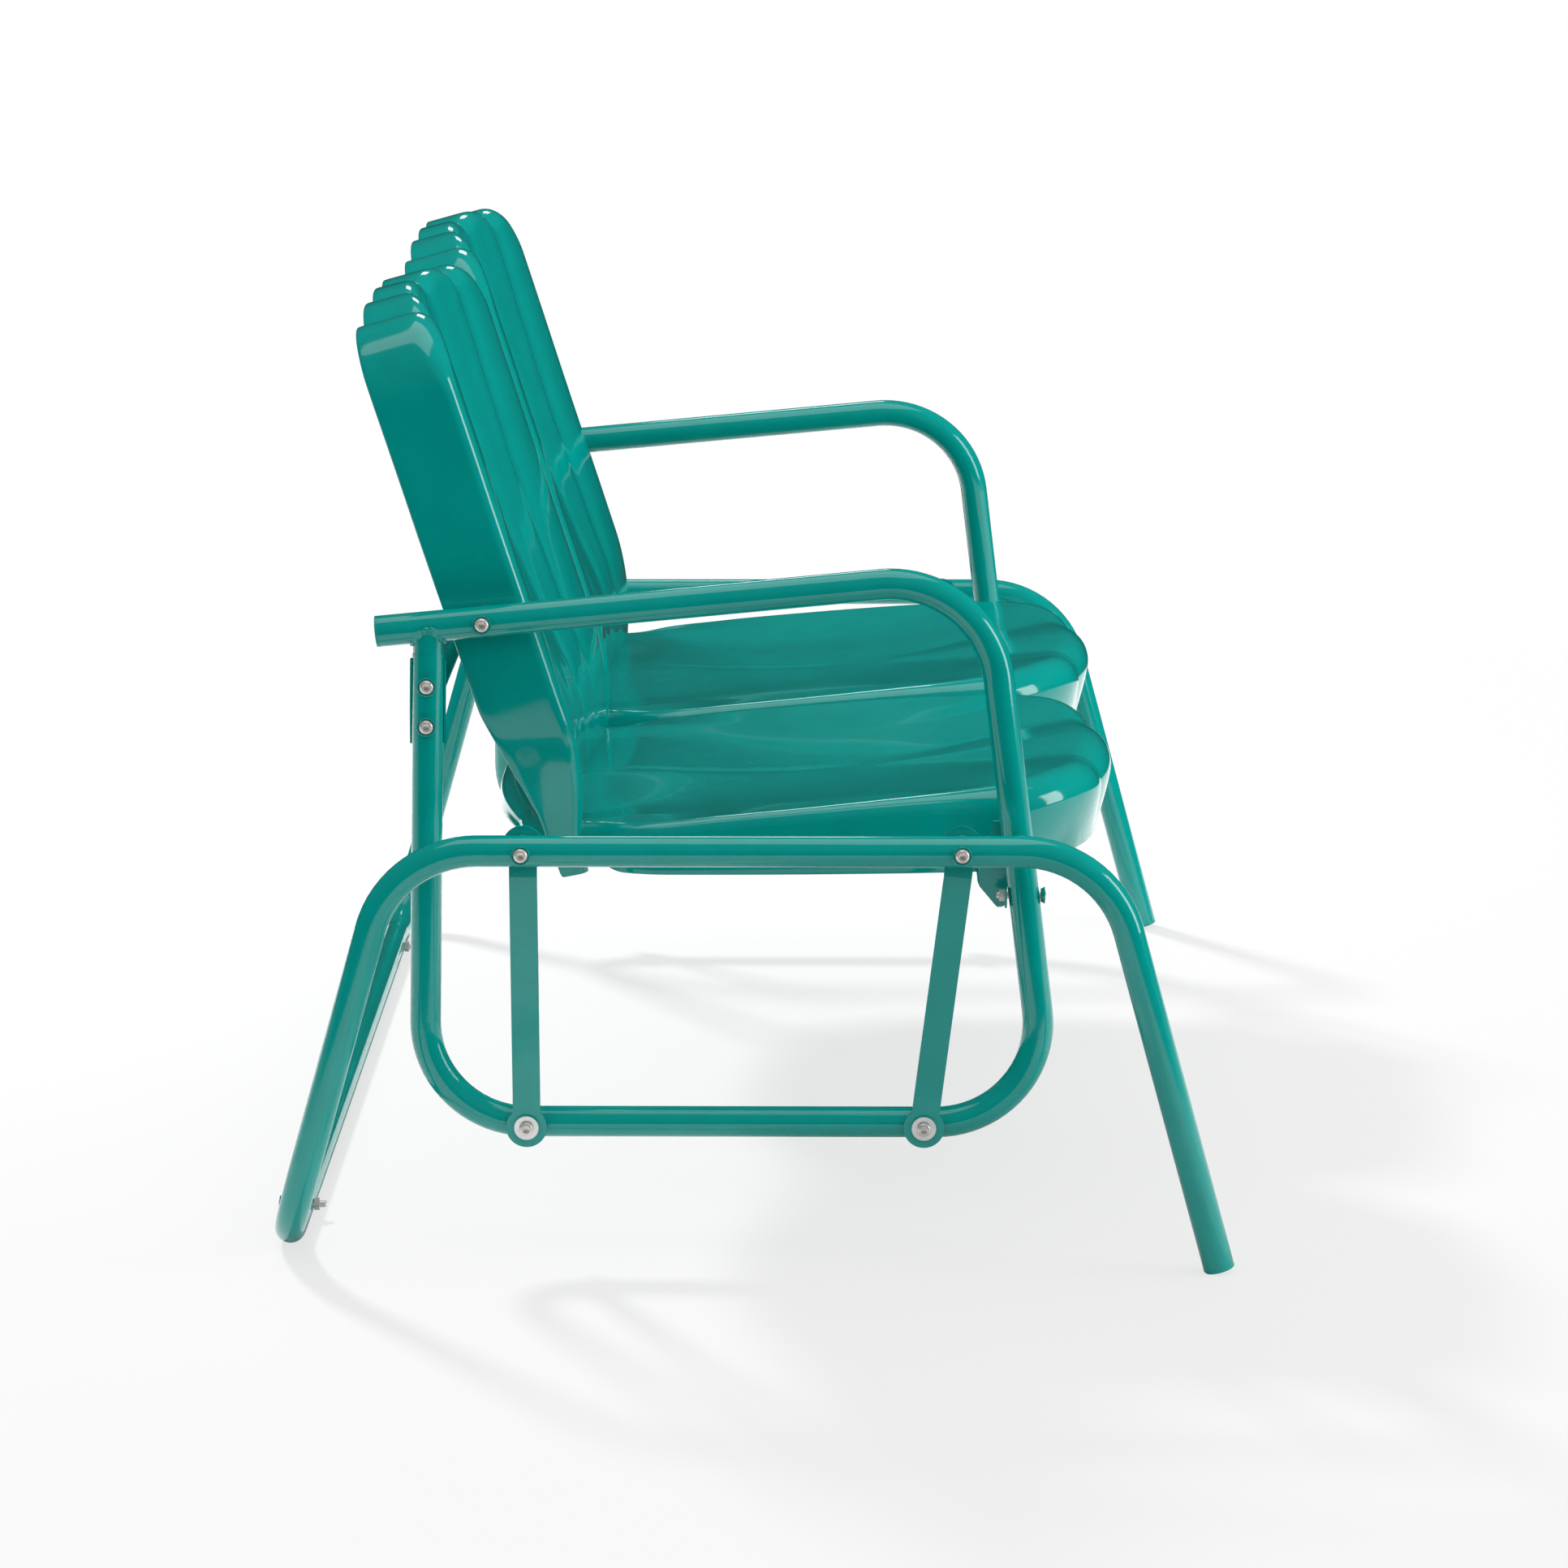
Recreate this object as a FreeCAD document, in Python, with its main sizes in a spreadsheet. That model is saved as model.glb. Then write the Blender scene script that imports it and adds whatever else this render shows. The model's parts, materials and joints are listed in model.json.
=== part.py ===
import FreeCAD, Part
import math
import os
from FreeCAD import Placement, Rotation, Vector

# Glider bench: a seat for two that hangs on four links from a floor stand.
# X runs across the bench, the sitters face -Y and Z is up. The origin is on the floor,
# under the middle of the bench. Left is the -X side, as seen from the front.

doc = FreeCAD.newDocument("GliderBench")
sheet = doc.addObject("Spreadsheet::Sheet", "Sizes")

SIZES = [
    # Frame tube
    ("tube_od", 28), ("tube_wall", 1.5), ("joint_wall", 1.5), ("swage_od", 24.8),
    # Stand
    ("stand_half_width", 612), ("rail_height", 388), ("stand_bend", 100), ("foot_bend", 92),
    ("front_foot_y", -426), ("front_corner_y", -320), ("rear_corner_y", 312), ("rear_foot_y", 423),
    ("floor_seam_half", 488), ("floor_swage_half", 440), ("floor_bolt_half", 465),
    ("cap_thick", 3), ("plug_depth", 18), ("plug_radius", 12.4), ("cap_flat", 0.8),
    # Pivots
    ("rear_top_pivot_y", 197), ("front_top_pivot_y", -192),
    ("rear_low_pivot_y", 200), ("front_low_pivot_y", -160), ("low_pivot_height", 117),
    # Seat side frames, which lean in towards the top
    ("frame_low_half", 538), ("frame_arm_half", 504), ("arm_front_height", 616),
    ("arm_front_y", -215), ("arm_rear_y", 329), ("arm_rear_height", 565),
    ("low_front_y", -275), ("low_rear_y", 294), ("post_top_y", 285), ("post_top_height", 569),
    ("arm_bend", 98), ("low_bend", 92),
    # Links
    ("link_thick", 3), ("link_width", 25), ("link_end_radius", 18.5), ("link_top_half", 593),
    ("link_low_half", 557), ("crank_top_drop", 28), ("crank_low_rise", 30), ("collar_radius", 11.9),
    ("collar_depth", 7),
    # Ball bearings
    ("bearing_od", 22), ("bearing_bore", 8), ("bearing_width", 7), ("race_out_radius", 9.2),
    ("race_in_radius", 5.8), ("shield_in_radius", 6.3), ("shield_thick", 0.5), ("ball_radius", 1.98),
    ("ball_pitch_radius", 7.5), ("groove_radius", 2.02), ("open_pivot_gap", 0.8),
    # Fasteners
    ("bolt_eight", 8), ("head_eight", 13), ("head_eight_height", 4.4), ("hex_eight", 5),
    ("nut_eight", 13), ("nut_eight_height", 6.5),
    ("bolt_six", 6), ("head_six", 11), ("head_six_height", 3.3), ("hex_six", 4),
    ("nut_six", 10), ("nut_six_height", 5), ("hole_play", 0.6), ("thread_play", 0.1),
    ("cup_height", 4.5), ("cup_base_radius", 6.6), ("cup_rim_radius", 8.85), ("cup_recess", 1.8),
    ("cup_recess_radius", 7.3), ("washer_thick", 1.5), ("washer_radius", 8),
    # Crossbars
    ("rear_bar_od", 20), ("rear_bar_height", 500), ("rear_bar_y", 286.3), ("rear_bar_half", 494),
    ("saddle_low", 463), ("saddle_high", 540), ("saddle_thick", 2), ("post_bolt_spread", 36),
    ("strap_thick", 6), ("strap_front_y", 212), ("strap_half_height", 22), ("saddle_play", 0.3),
    ("front_bar_half", 500), ("channel_thick", 2), ("end_plate_thick", 3), ("end_plate_gap", 1.2),
    ("lean_gap", 0.55), ("cross_gap", 0.85),
    # Pressed seats and backs
    ("seat_pitch", 486), ("sheet", 1.5), ("back_half_width", 235),
    ("back_recline_y", 173), ("back_recline_height", 506), ("recline_slope", 0.322),
]

for row, (alias, value) in enumerate(SIZES, start=1):
    sheet.set("A%d" % row, alias)
    sheet.set("B%d" % row, str(value))
    sheet.setAlias("B%d" % row, alias)
doc.recompute()


def size(alias):
    return float(sheet.get(alias))


def bind(thing, **cells):
    for name, formula in cells.items():
        thing.setExpression(name, formula)
    return thing


def add(kind, name):
    return doc.addObject(kind, name)


def along(direction):
    """Rotation that turns +Z to the given direction."""
    return Rotation(Vector(0, 0, 1), Vector(*direction))


# Basic solids


def cylinder(name, radius, height, at=(0, 0, 0), axis=(0, 0, 1)):
    thing = bind(add("Part::Cylinder", name), Radius=radius, Height=height)
    thing.Placement = Placement(Vector(*at), along(axis))
    return thing


def box(name, low, high):
    thing = add("Part::Box", name)
    thing.Length, thing.Width, thing.Height = [high[i] - low[i] for i in range(3)]
    thing.Placement.Base = Vector(*low)
    return thing


def fuse(name, things):
    if len(things) == 1:
        return things[0]
    whole = add("Part::MultiFuse", name)
    whole.Shapes = things
    return whole


def cut(name, base, tools):
    result = add("Part::Cut", name)
    result.Base = base
    result.Tool = fuse(name + "_tools", tools)
    return result


def common(name, base, tool):
    result = add("Part::Common", name)
    result.Base = base
    result.Tool = tool
    return result


def wire(name, edges):
    thing = add("Part::Feature", name)
    thing.Shape = Part.Wire(edges)
    return thing


def line(start, end):
    return Part.LineSegment(start, end).toShape()


def arc(start, middle, end):
    return Part.Arc(start, middle, end).toShape()


def through_hole(name, diameter, at, axis, length=80):
    """A cylinder for a clearance hole, centred on the point."""
    tool = bind(add("Part::Cylinder", name), Radius="(%s + Sizes.hole_play) / 2" % diameter)
    tool.Height = length
    start = Vector(*at) - Vector(*axis).normalize() * (length / 2)
    tool.Placement = Placement(start, along(axis))
    return tool


# Bent tube: straight runs joined by arcs of the bend radius


def rounded_edges(points, radii):
    edges = []
    start = points[0]
    for before, corner, after, radius in zip(points, points[1:-1], points[2:], radii):
        back = (before - corner).normalize()
        ahead = (after - corner).normalize()
        half = back.getAngle(ahead) / 2
        reach = radius / math.tan(half)
        into = (back + ahead).normalize()
        centre = corner + into * (radius / math.sin(half))
        first = corner + back * reach
        last = corner + ahead * reach
        edges.append(line(start, first))
        edges.append(arc(first, centre - into * radius, last))
        start = last
    edges.append(line(start, points[-1]))
    return edges


def sweep(name, spine, points, radius):
    ring = bind(add("Part::Circle", name + "_ring"), Radius=radius)
    ring.Placement = Placement(points[0], along(tuple(points[1] - points[0])))
    thing = add("Part::Sweep", name)
    thing.Sections = [ring]
    thing.Spine = (spine, [])
    thing.Solid = True
    return thing


def bent_tube(name, points, radii):
    spine = wire(name + "_path", rounded_edges(points, radii))
    outer = sweep(name + "_outer", spine, points, "Sizes.tube_od / 2")
    inner = sweep(name + "_inner", spine, points, "Sizes.tube_od / 2 - Sizes.tube_wall")
    return cut(name, outer, [inner])


# Fastener prototypes, head up, with the underside of the head at the origin


def bolt(name, diameter, head, head_height, hexagon, length):
    shaft = bind(add("Part::Cylinder", name + "_shaft"), Radius="Sizes.%s / 2" % diameter)
    shaft.Height = length - 1
    shaft.Placement.Base = Vector(0, 0, 1 - length)
    tip = bind(add("Part::Cone", name + "_tip"), Radius2="Sizes.%s / 2" % diameter,
               Radius1="Sizes.%s / 2 - 1" % diameter)
    tip.Height = 1
    tip.Placement.Base = Vector(0, 0, -length)
    disc = cylinder(name + "_disc", "Sizes.%s / 2" % head, "Sizes.%s" % head_height)
    height = size(head_height)
    dome_radius = (size(head) / 2 - 0.4) ** 2 / (2 * height) + height / 2 + 1.2
    dome = add("Part::Sphere", name + "_dome")
    dome.Radius = dome_radius
    dome.Placement.Base = Vector(0, 0, height - dome_radius)
    button = common(name + "_button", disc, dome)
    socket = bind(add("Part::Prism", name + "_socket"), Circumradius="Sizes.%s / sqrt(3)" % hexagon)
    socket.Polygon = 6
    socket.Height = 3
    socket.Placement.Base = Vector(0, 0, height - 2.2)
    return cut(name, fuse(name + "_solid", [shaft, tip, button]), [socket])


def nut(name, width, height, diameter):
    blank = bind(add("Part::Prism", name + "_blank"), Circumradius="Sizes.%s / sqrt(3)" % width,
                 Height="Sizes.%s" % height)
    blank.Polygon = 6
    bore = cylinder(name + "_bore", "(Sizes.%s + Sizes.thread_play) / 2" % diameter,
                    "Sizes.%s" % height)
    return cut(name, blank, [bore])


def ring(name, outer, inner, height):
    """A plain washer, spacer or race; sizes are formulas or numbers as text."""
    return cut(name, cylinder(name + "_body", outer, height), [cylinder(name + "_hole", inner, height)])


def cup_washer(name, diameter, scale):
    """Cup that stands on a tube and holds a bolt's head in its recess."""
    cone = bind(add("Part::Cone", name + "_cone"), Height="Sizes.cup_height * %s" % scale,
                Radius1="Sizes.cup_base_radius * %s" % scale, Radius2="Sizes.cup_rim_radius * %s" % scale)
    recess = cylinder(name + "_recess", "Sizes.cup_recess_radius * %s" % scale, "Sizes.cup_height")
    recess.Placement.Base = Vector(0, 0, (size("cup_height") - size("cup_recess")) * scale)
    hole = cylinder(name + "_hole", "(Sizes.%s + 0.4) / 2" % diameter, "Sizes.cup_height")
    return cut(name, cone, [recess, hole])


nodes = {}


def node(name, thing):
    thing.Label = name
    nodes[name] = thing
    return thing


def group(name, placed):
    """One node of identical separate solids: a list of (prototype, point, direction)."""
    links = []
    for number, (prototype, at, axis) in enumerate(placed):
        link = add("App::Link", "%s_%d" % (name, number))
        link.LinkedObject = prototype
        link.LinkTransform = False
        link.Placement = Placement(Vector(*at), along(axis))
        links.append(link)
    whole = add("Part::Compound", name + "_group")
    whole.Links = links
    return node(name, whole)


SIDES = (("left", -1), ("right", 1))
tube_radius = size("tube_od") / 2
rail_z = size("rail_height")
stand_x = size("stand_half_width")

pivot_bolt = bolt("pivot_bolt", "bolt_eight", "head_eight", "head_eight_height", "hex_eight", 50)
arm_bolt = bolt("arm_bolt", "bolt_eight", "head_eight", "head_eight_height", "hex_eight", 56)
post_bolt = bolt("post_bolt", "bolt_eight", "head_eight", "head_eight_height", "hex_eight", 45)
strap_bolt = bolt("strap_bolt", "bolt_eight", "head_eight", "head_eight_height", "hex_eight", 28)
long_six = bolt("long_six", "bolt_six", "head_six", "head_six_height", "hex_six", 42)
short_six = bolt("short_six", "bolt_six", "head_six", "head_six_height", "hex_six", 14)
nut_eight = nut("nut_eight", "nut_eight", "nut_eight_height", "bolt_eight")
nut_six = nut("nut_six", "nut_six", "nut_six_height", "bolt_six")
cup_eight = cup_washer("cup_eight", "bolt_eight", 1.0)
cup_six = cup_washer("cup_six", "bolt_six", 0.88)
cup_seat = size("cup_height") - size("cup_recess")


# Stand: a bent side frame on each side and a floor tube at the rear

leg_lean = (size("rear_foot_y") - size("rear_corner_y")) / rail_z
floor_y = size("rear_foot_y") - leg_lean * tube_radius
front_lean = (size("front_corner_y") - size("front_foot_y")) / rail_z
front_slope = math.atan(front_lean)
top_pivots = [(size("rear_top_pivot_y"), rail_z), (size("front_top_pivot_y"), rail_z)]
low_pivots = [(size("rear_low_pivot_y"), size("low_pivot_height")),
              (size("front_low_pivot_y"), size("low_pivot_height"))]
cap_end_z = tube_radius * math.sin(front_slope) - size("cap_flat")
leg_down = Vector(0, -math.sin(front_slope), -math.cos(front_slope))


def front_leg_point(height):
    return size("front_foot_y") + front_lean * height


def stand_frame(label, side):
    x = side * stand_x
    cap_end = Vector(x, front_leg_point(cap_end_z), cap_end_z)
    points = [
        cap_end - leg_down * size("cap_thick"),
        Vector(x, size("front_corner_y"), rail_z),
        Vector(x, size("rear_corner_y"), rail_z),
        Vector(x, floor_y, tube_radius),
        Vector(side * size("floor_seam_half"), floor_y, tube_radius),
    ]
    radii = [size("stand_bend"), size("stand_bend"), size("foot_bend")]
    tube = bent_tube("stand_tube_" + label, points, radii)
    swage_length = size("floor_seam_half") - size("floor_swage_half") + 2
    seam = Vector(side * (size("floor_seam_half") + 2), floor_y, tube_radius)
    swage = ring("swage_" + label, "Sizes.swage_od / 2", "Sizes.swage_od / 2 - Sizes.joint_wall",
                 str(swage_length))
    swage.Placement = Placement(seam, along((-side, 0, 0)))
    collar = ring("swage_step_" + label, "Sizes.tube_od / 2", "Sizes.swage_od / 2 - Sizes.joint_wall", "2")
    collar.Placement = Placement(seam, along((-side, 0, 0)))
    whole = fuse("stand_whole_" + label, [tube, swage, collar])
    holes = [through_hole("rail_hole_%s_%d" % (label, number), "Sizes.bolt_eight", (x, y, z), (1, 0, 0))
             for number, (y, z) in enumerate(top_pivots)]
    holes.append(through_hole("floor_hole_" + label, "Sizes.bolt_six",
                              (side * size("floor_bolt_half"), floor_y, tube_radius), (0, 1, 0)))
    node("stand_frame_" + label, cut("stand_drilled_" + label, whole, holes))
    plug_top = cap_end - leg_down * (size("cap_thick") + size("plug_depth"))
    plug = cylinder("foot_plug_" + label, "Sizes.plug_radius", "Sizes.plug_depth + 1", plug_top, tuple(leg_down))
    flange = cylinder("foot_flange_" + label, "Sizes.tube_od / 2", "Sizes.cap_thick",
                      cap_end - leg_down * size("cap_thick"), tuple(leg_down))
    below_floor = box("below_floor_" + label, (x - 30, cap_end.y - 40, -10), (x + 30, cap_end.y + 40, 0))
    return cut("foot_cap_" + label, fuse("foot_cap_solid_" + label, [plug, flange]), [below_floor])


foot_caps = [stand_frame(label, side) for label, side in SIDES]
caps = add("Part::Compound", "foot_caps")
caps.Links = foot_caps
node("stand_foot_caps", caps)

floor_tube = ring("floor_tube", "Sizes.tube_od / 2", "Sizes.tube_od / 2 - Sizes.tube_wall",
                  "2 * Sizes.floor_seam_half")
floor_tube.Placement = Placement(Vector(-size("floor_seam_half"), floor_y, tube_radius), along((1, 0, 0)))
node("stand_cross_tube", cut("floor_tube_drilled", floor_tube, [
    through_hole("cross_hole_" + label, "Sizes.bolt_six",
                 (side * size("floor_bolt_half"), floor_y, tube_radius), (0, 1, 0))
    for label, side in SIDES]))

floor_back = floor_y + tube_radius
floor_spots = [side * size("floor_bolt_half") for label, side in SIDES]
group("floor_joint_cup_washers", [(cup_six, (x, floor_back, tube_radius), (0, 1, 0)) for x in floor_spots])
group("floor_joint_bolts", [(long_six, (x, floor_back + cup_seat * 0.88, tube_radius), (0, 1, 0))
                            for x in floor_spots])
group("floor_joint_nuts", [(nut_six, (x, floor_y - tube_radius, tube_radius), (0, -1, 0))
                           for x in floor_spots])


# Upper pivots: bolt, cup washer, rail, spacer, the bearing's inner ring, spacer and nut, in that order inwards

bearing_half = size("bearing_width") / 2
top_bearing_x = stand_x - tube_radius - size("washer_thick") - bearing_half
low_bearing_x = size("frame_low_half") + tube_radius + size("washer_thick") + 0.1 + bearing_half

spacer = ring("pivot_spacer", "Sizes.race_in_radius", "Sizes.bolt_eight / 2 + 0.1", "Sizes.washer_thick")
wide_washer = ring("wide_washer", "Sizes.washer_radius", "Sizes.bolt_eight / 2 + 0.1", "Sizes.washer_thick")
ball = bind(add("Part::Sphere", "ball"), Radius="Sizes.ball_radius")


def grooved(name, race):
    groove = bind(add("Part::Torus", name + "_groove"), Radius1="Sizes.ball_pitch_radius",
                  Radius2="Sizes.groove_radius")
    groove.Placement.Base = Vector(0, 0, bearing_half)
    return cut(name, race, [groove])


def inner_ring(name, bore, trim):
    """Inner race; the trim is taken off each end face."""
    race = ring(name + "_race", "Sizes.race_in_radius", bore, "Sizes.bearing_width - 2 * %s" % trim)
    race.Base.Placement.Base = Vector(0, 0, trim)
    race.Tool.Placement.Base = Vector(0, 0, trim)
    return grooved(name, race)


def outer_ring(name):
    race = grooved(name + "_grooved", ring(name + "_race", "Sizes.bearing_od / 2", "Sizes.race_out_radius",
                                           "Sizes.bearing_width"))
    low, high = [ring("%s_%s_shield" % (name, face), "Sizes.race_out_radius + 0.4", "Sizes.shield_in_radius",
                      "Sizes.shield_thick") for face in ("low", "high")]
    high.Placement.Base = Vector(0, 0, size("bearing_width") - size("shield_thick"))
    return fuse(name, [race, low, high])


race_in = inner_ring("race_in", "Sizes.bearing_bore / 2 + 0.02", 0)
race_in_open = inner_ring("race_in_open", "Sizes.bearing_bore / 2 + Sizes.open_pivot_gap", 0.3)
race_out = outer_ring("race_out")


def on_both_sides(pivots, x, prototype, inward=False):
    """Place a prototype on each pivot of each side, pointing outwards, or inwards."""
    turn = -1 if inward else 1
    return [(prototype, (side * x, y, z), (side * turn, 0, 0)) for label, side in SIDES for y, z in pivots]


rail_out = stand_x + tube_radius
rail_in = stand_x - tube_radius
group("rail_pivot_cup_washers", on_both_sides(top_pivots, rail_out, cup_eight))
group("rail_pivot_bolts", on_both_sides(top_pivots, rail_out + cup_seat, pivot_bolt))
top_ring_in = top_bearing_x - bearing_half
group("rail_pivot_spacers", on_both_sides(top_pivots, rail_in, spacer, True)
      + on_both_sides(top_pivots, top_ring_in, spacer, True))
group("rail_pivot_inner_rings", on_both_sides(top_pivots, top_ring_in, race_in))
group("rail_pivot_nuts", on_both_sides(top_pivots, top_ring_in - size("washer_thick"), nut_eight, True))


# Links: cranked steel plates with a bearing in a collar at each end


def link(label, side, top, low, open_pivot):
    drop = math.hypot(low[0] - top[0], low[1] - top[1])
    lean = math.degrees(math.atan2(low[0] - top[0], top[1] - low[1]))
    place = Placement(Vector(0, top[0], top[1]), Rotation(Vector(1, 0, 0), lean))
    half = size("link_thick") / 2
    route = [(size("link_top_half"), 0), (size("link_top_half"), -size("crank_top_drop")),
             (size("link_low_half"), size("crank_low_rise") - drop), (size("link_low_half"), -drop)]
    tilt = math.atan2(route[1][0] - route[2][0], route[1][1] - route[2][1])
    shift = half * math.tan(tilt / 2)
    outside = [(x + half, z + turn * shift) for (x, z), turn in zip(route, (0, -1, -1, 0))]
    inside = [(x - half, z + turn * shift) for (x, z), turn in zip(route, (0, 1, 1, 0))]
    corners = [Vector(side * x, -size("link_width") / 2, z) for x, z in outside + inside[::-1]]
    strip_face = add("Part::Feature", label + "_profile")
    strip_face.Shape = Part.Face(Part.makePolygon(corners + corners[:1]))
    strip = add("Part::Extrusion", label + "_strip")
    strip.Base = strip_face
    strip.Dir = Vector(0, 1, 0)
    bind(strip, LengthFwd="Sizes.link_width")
    bodies = [strip]
    bores = []
    for end, x, z, bearing_x in (("top", size("link_top_half"), 0, top_bearing_x),
                                 ("low", size("link_low_half"), -drop, low_bearing_x)):
        out = (side, 0, 0)
        bodies.append(cylinder("%s_%s_eye" % (label, end), "Sizes.link_end_radius", "Sizes.link_thick",
                               (side * (x - half), 0, z), out))
        collar_at = (side * (bearing_x - bearing_half), 0, z)
        bodies.append(cylinder("%s_%s_collar" % (label, end), "Sizes.collar_radius", "Sizes.collar_depth",
                               collar_at, out))
        bores.append(cylinder("%s_%s_bore" % (label, end), "Sizes.bearing_od / 2 + 0.02", "Sizes.collar_depth",
                              collar_at, out))
    plate = cut(label + "_plate", fuse(label + "_blank", bodies), bores)
    plate.Placement = place
    node(label, plate)
    ends = [(top, top_bearing_x), (low, low_bearing_x)]
    starts = [(side * (x - bearing_half), y, z) for (y, z), x in ends]
    group(label + "_outer_rings", [(race_out, at, (side, 0, 0)) for at in starts])
    balls = []
    for (y, z), x in ends:
        for number in range(7):
            angle = 2 * math.pi * number / 7
            reach = size("ball_pitch_radius")
            balls.append((ball, (side * x, y + reach * math.cos(angle), z + reach * math.sin(angle)), (0, 0, 1)))
    group(label + "_balls", balls)
    if open_pivot:
        group(label + "_low_inner_ring", [(race_in_open, starts[1], (side, 0, 0))])


for label, side in SIDES:
    link("rear_link_" + label, side, top_pivots[0], low_pivots[0], False)
    link("front_link_" + label, side, top_pivots[1], low_pivots[1], True)


# Lower pivots: bolt, spacer, the bearing's inner ring, spacer, seat frame tube, washer and nut

frame_out = size("frame_low_half") + tube_radius + 0.1
frame_in = size("frame_low_half") - tube_radius - 0.1
low_ring_out = low_bearing_x + bearing_half
group("seat_pivot_bolts", on_both_sides(low_pivots, low_ring_out + size("washer_thick"), pivot_bolt))
group("seat_pivot_inner_rings", on_both_sides(low_pivots[:1], low_bearing_x - bearing_half, race_in))
group("seat_pivot_spacers", on_both_sides(low_pivots, frame_out, spacer)
      + on_both_sides(low_pivots, low_ring_out, spacer))
group("seat_pivot_washers", on_both_sides(low_pivots, frame_in, wide_washer, True))
group("seat_pivot_nuts", on_both_sides(low_pivots, frame_in - size("washer_thick"), nut_eight, True))


# Seat side frames: one tube makes the arm, the front post, the lower rail and the rear post

lean_rate = (size("frame_low_half") - size("frame_arm_half")) / (600 - size("low_pivot_height"))


def frame_x(height):
    return size("frame_low_half") - lean_rate * (height - size("low_pivot_height"))


def on_line(start, end, height):
    """Y of a straight run between two (y, z) points at a height."""
    return start[0] + (end[0] - start[0]) * (height - start[1]) / (end[1] - start[1])


arm_front = (size("arm_front_y"), size("arm_front_height"))
arm_rear = (size("arm_rear_y"), size("arm_rear_height"))
low_front = (size("low_front_y"), size("low_pivot_height"))
low_rear = (size("low_rear_y"), size("low_pivot_height"))
post_top = (size("post_top_y"), size("post_top_height"))
post_end = (on_line(low_rear, post_top, 545), 545)
arm_bolt_y = 236
arm_share = (arm_bolt_y - arm_front[0]) / (arm_rear[0] - arm_front[0])
arm_bolt_z = arm_front[1] + (arm_rear[1] - arm_front[1]) * arm_share
post_bolt_heights = [size("rear_bar_height") + turn * size("post_bolt_spread") / 2 for turn in (-1, 1)]
post_bolt_spots = [(on_line(low_rear, post_top, z), z) for z in post_bolt_heights]
front_x_bolt = (on_line(low_front, arm_front, 377), 377)
front_y_bolt = (on_line(low_front, arm_front, 326), 326)


def frame_point(side, spot):
    return Vector(side * frame_x(spot[1]), spot[0], spot[1])


def seat_frame(label, side):
    spots = [arm_rear, arm_front, low_front, low_rear, post_end]
    points = [frame_point(side, spot) for spot in spots]
    radii = [size("arm_bend"), size("low_bend"), size("low_bend")]
    tube = bent_tube("seat_tube_" + label, points, radii)
    stub_start = frame_point(side, post_end)
    stub_axis = (frame_point(side, post_top) - stub_start)
    stub = ring("post_stub_" + label, "Sizes.tube_od / 2 - 0.6", "Sizes.tube_od / 2 - Sizes.tube_wall",
                str(stub_axis.Length))
    stub.Placement = Placement(stub_start, along(tuple(stub_axis)))
    arm_axis = points[1] - points[0]
    arm_core = cylinder("arm_core_" + label, "Sizes.tube_od / 2 - 0.3", "200", points[0], tuple(arm_axis))
    coped = cut("post_coped_" + label, stub, [arm_core])
    whole = fuse("seat_frame_whole_" + label, [tube, coped])
    holes = [through_hole("arm_hole_" + label, "Sizes.bolt_eight",
                          tuple(frame_point(side, (arm_bolt_y, arm_bolt_z))), (1, 0, 0)),
             through_hole("front_hole_" + label, "Sizes.bolt_eight",
                          tuple(frame_point(side, front_x_bolt)), (1, 0, 0)),
             through_hole("front_cross_hole_" + label, "Sizes.bolt_six",
                          tuple(frame_point(side, front_y_bolt)), (0, 1, 0))]
    for number, spot in enumerate(post_bolt_spots + low_pivots):
        holes.append(through_hole("frame_hole_%s_%d" % (label, number), "Sizes.bolt_eight",
                                  tuple(frame_point(side, spot)), (1, 0, 0)))
    return cut("seat_frame_drilled_" + label, whole, holes)


def arm_cap(label, side):
    rear_end = frame_point(side, arm_rear)
    back_out = (rear_end - frame_point(side, arm_front)).normalize()
    flange = cylinder("arm_flange_" + label, "Sizes.tube_od / 2", "Sizes.cap_thick", rear_end, tuple(back_out))
    plug = cylinder("arm_plug_" + label, "Sizes.plug_radius", "Sizes.plug_depth + 1",
                    rear_end - back_out * size("plug_depth"), tuple(back_out))
    return fuse("arm_cap_" + label, [flange, plug])


left_frame = node("seat_frame_left", seat_frame("left", -1))
right_frame = add("Part::Mirroring", "seat_frame_mirrored")
right_frame.Source = left_frame
right_frame.Normal = Vector(1, 0, 0)
node("seat_frame_right", right_frame)
arm_cap_pair = add("Part::Compound", "arm_caps")
arm_cap_pair.Links = [arm_cap(label, side) for label, side in SIDES]
node("arm_end_caps", arm_cap_pair)


# Rear crossbar: a tube with a saddle at each end that hugs the rear post, and a strap in the middle

bar_y = size("rear_bar_y")
bar_z = size("rear_bar_height")


def saddle(label, side):
    low = frame_point(side, (on_line(low_rear, post_top, size("saddle_low")), size("saddle_low")))
    high = frame_point(side, (on_line(low_rear, post_top, size("saddle_high")), size("saddle_high")))
    axis = high - low
    shell = ring("saddle_shell_" + label, "Sizes.tube_od / 2 + Sizes.saddle_play + Sizes.saddle_thick",
                 "Sizes.tube_od / 2 + Sizes.saddle_play", str(axis.Length))
    shell.Placement = Placement(low, along(tuple(axis)))
    middle = frame_x(bar_z)
    away = box("saddle_trim_" + label, (min(side * middle, side * (middle + 60)), bar_y - 40, 440),
               (max(side * middle, side * (middle + 60)), bar_y + 40, 560))
    holes = [through_hole("saddle_hole_%s_%d" % (label, number), "Sizes.bolt_eight",
                          tuple(frame_point(side, spot)), (1, 0, 0))
             for number, spot in enumerate(post_bolt_spots)]
    return cut("saddle_" + label, shell, [away] + holes)


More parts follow.
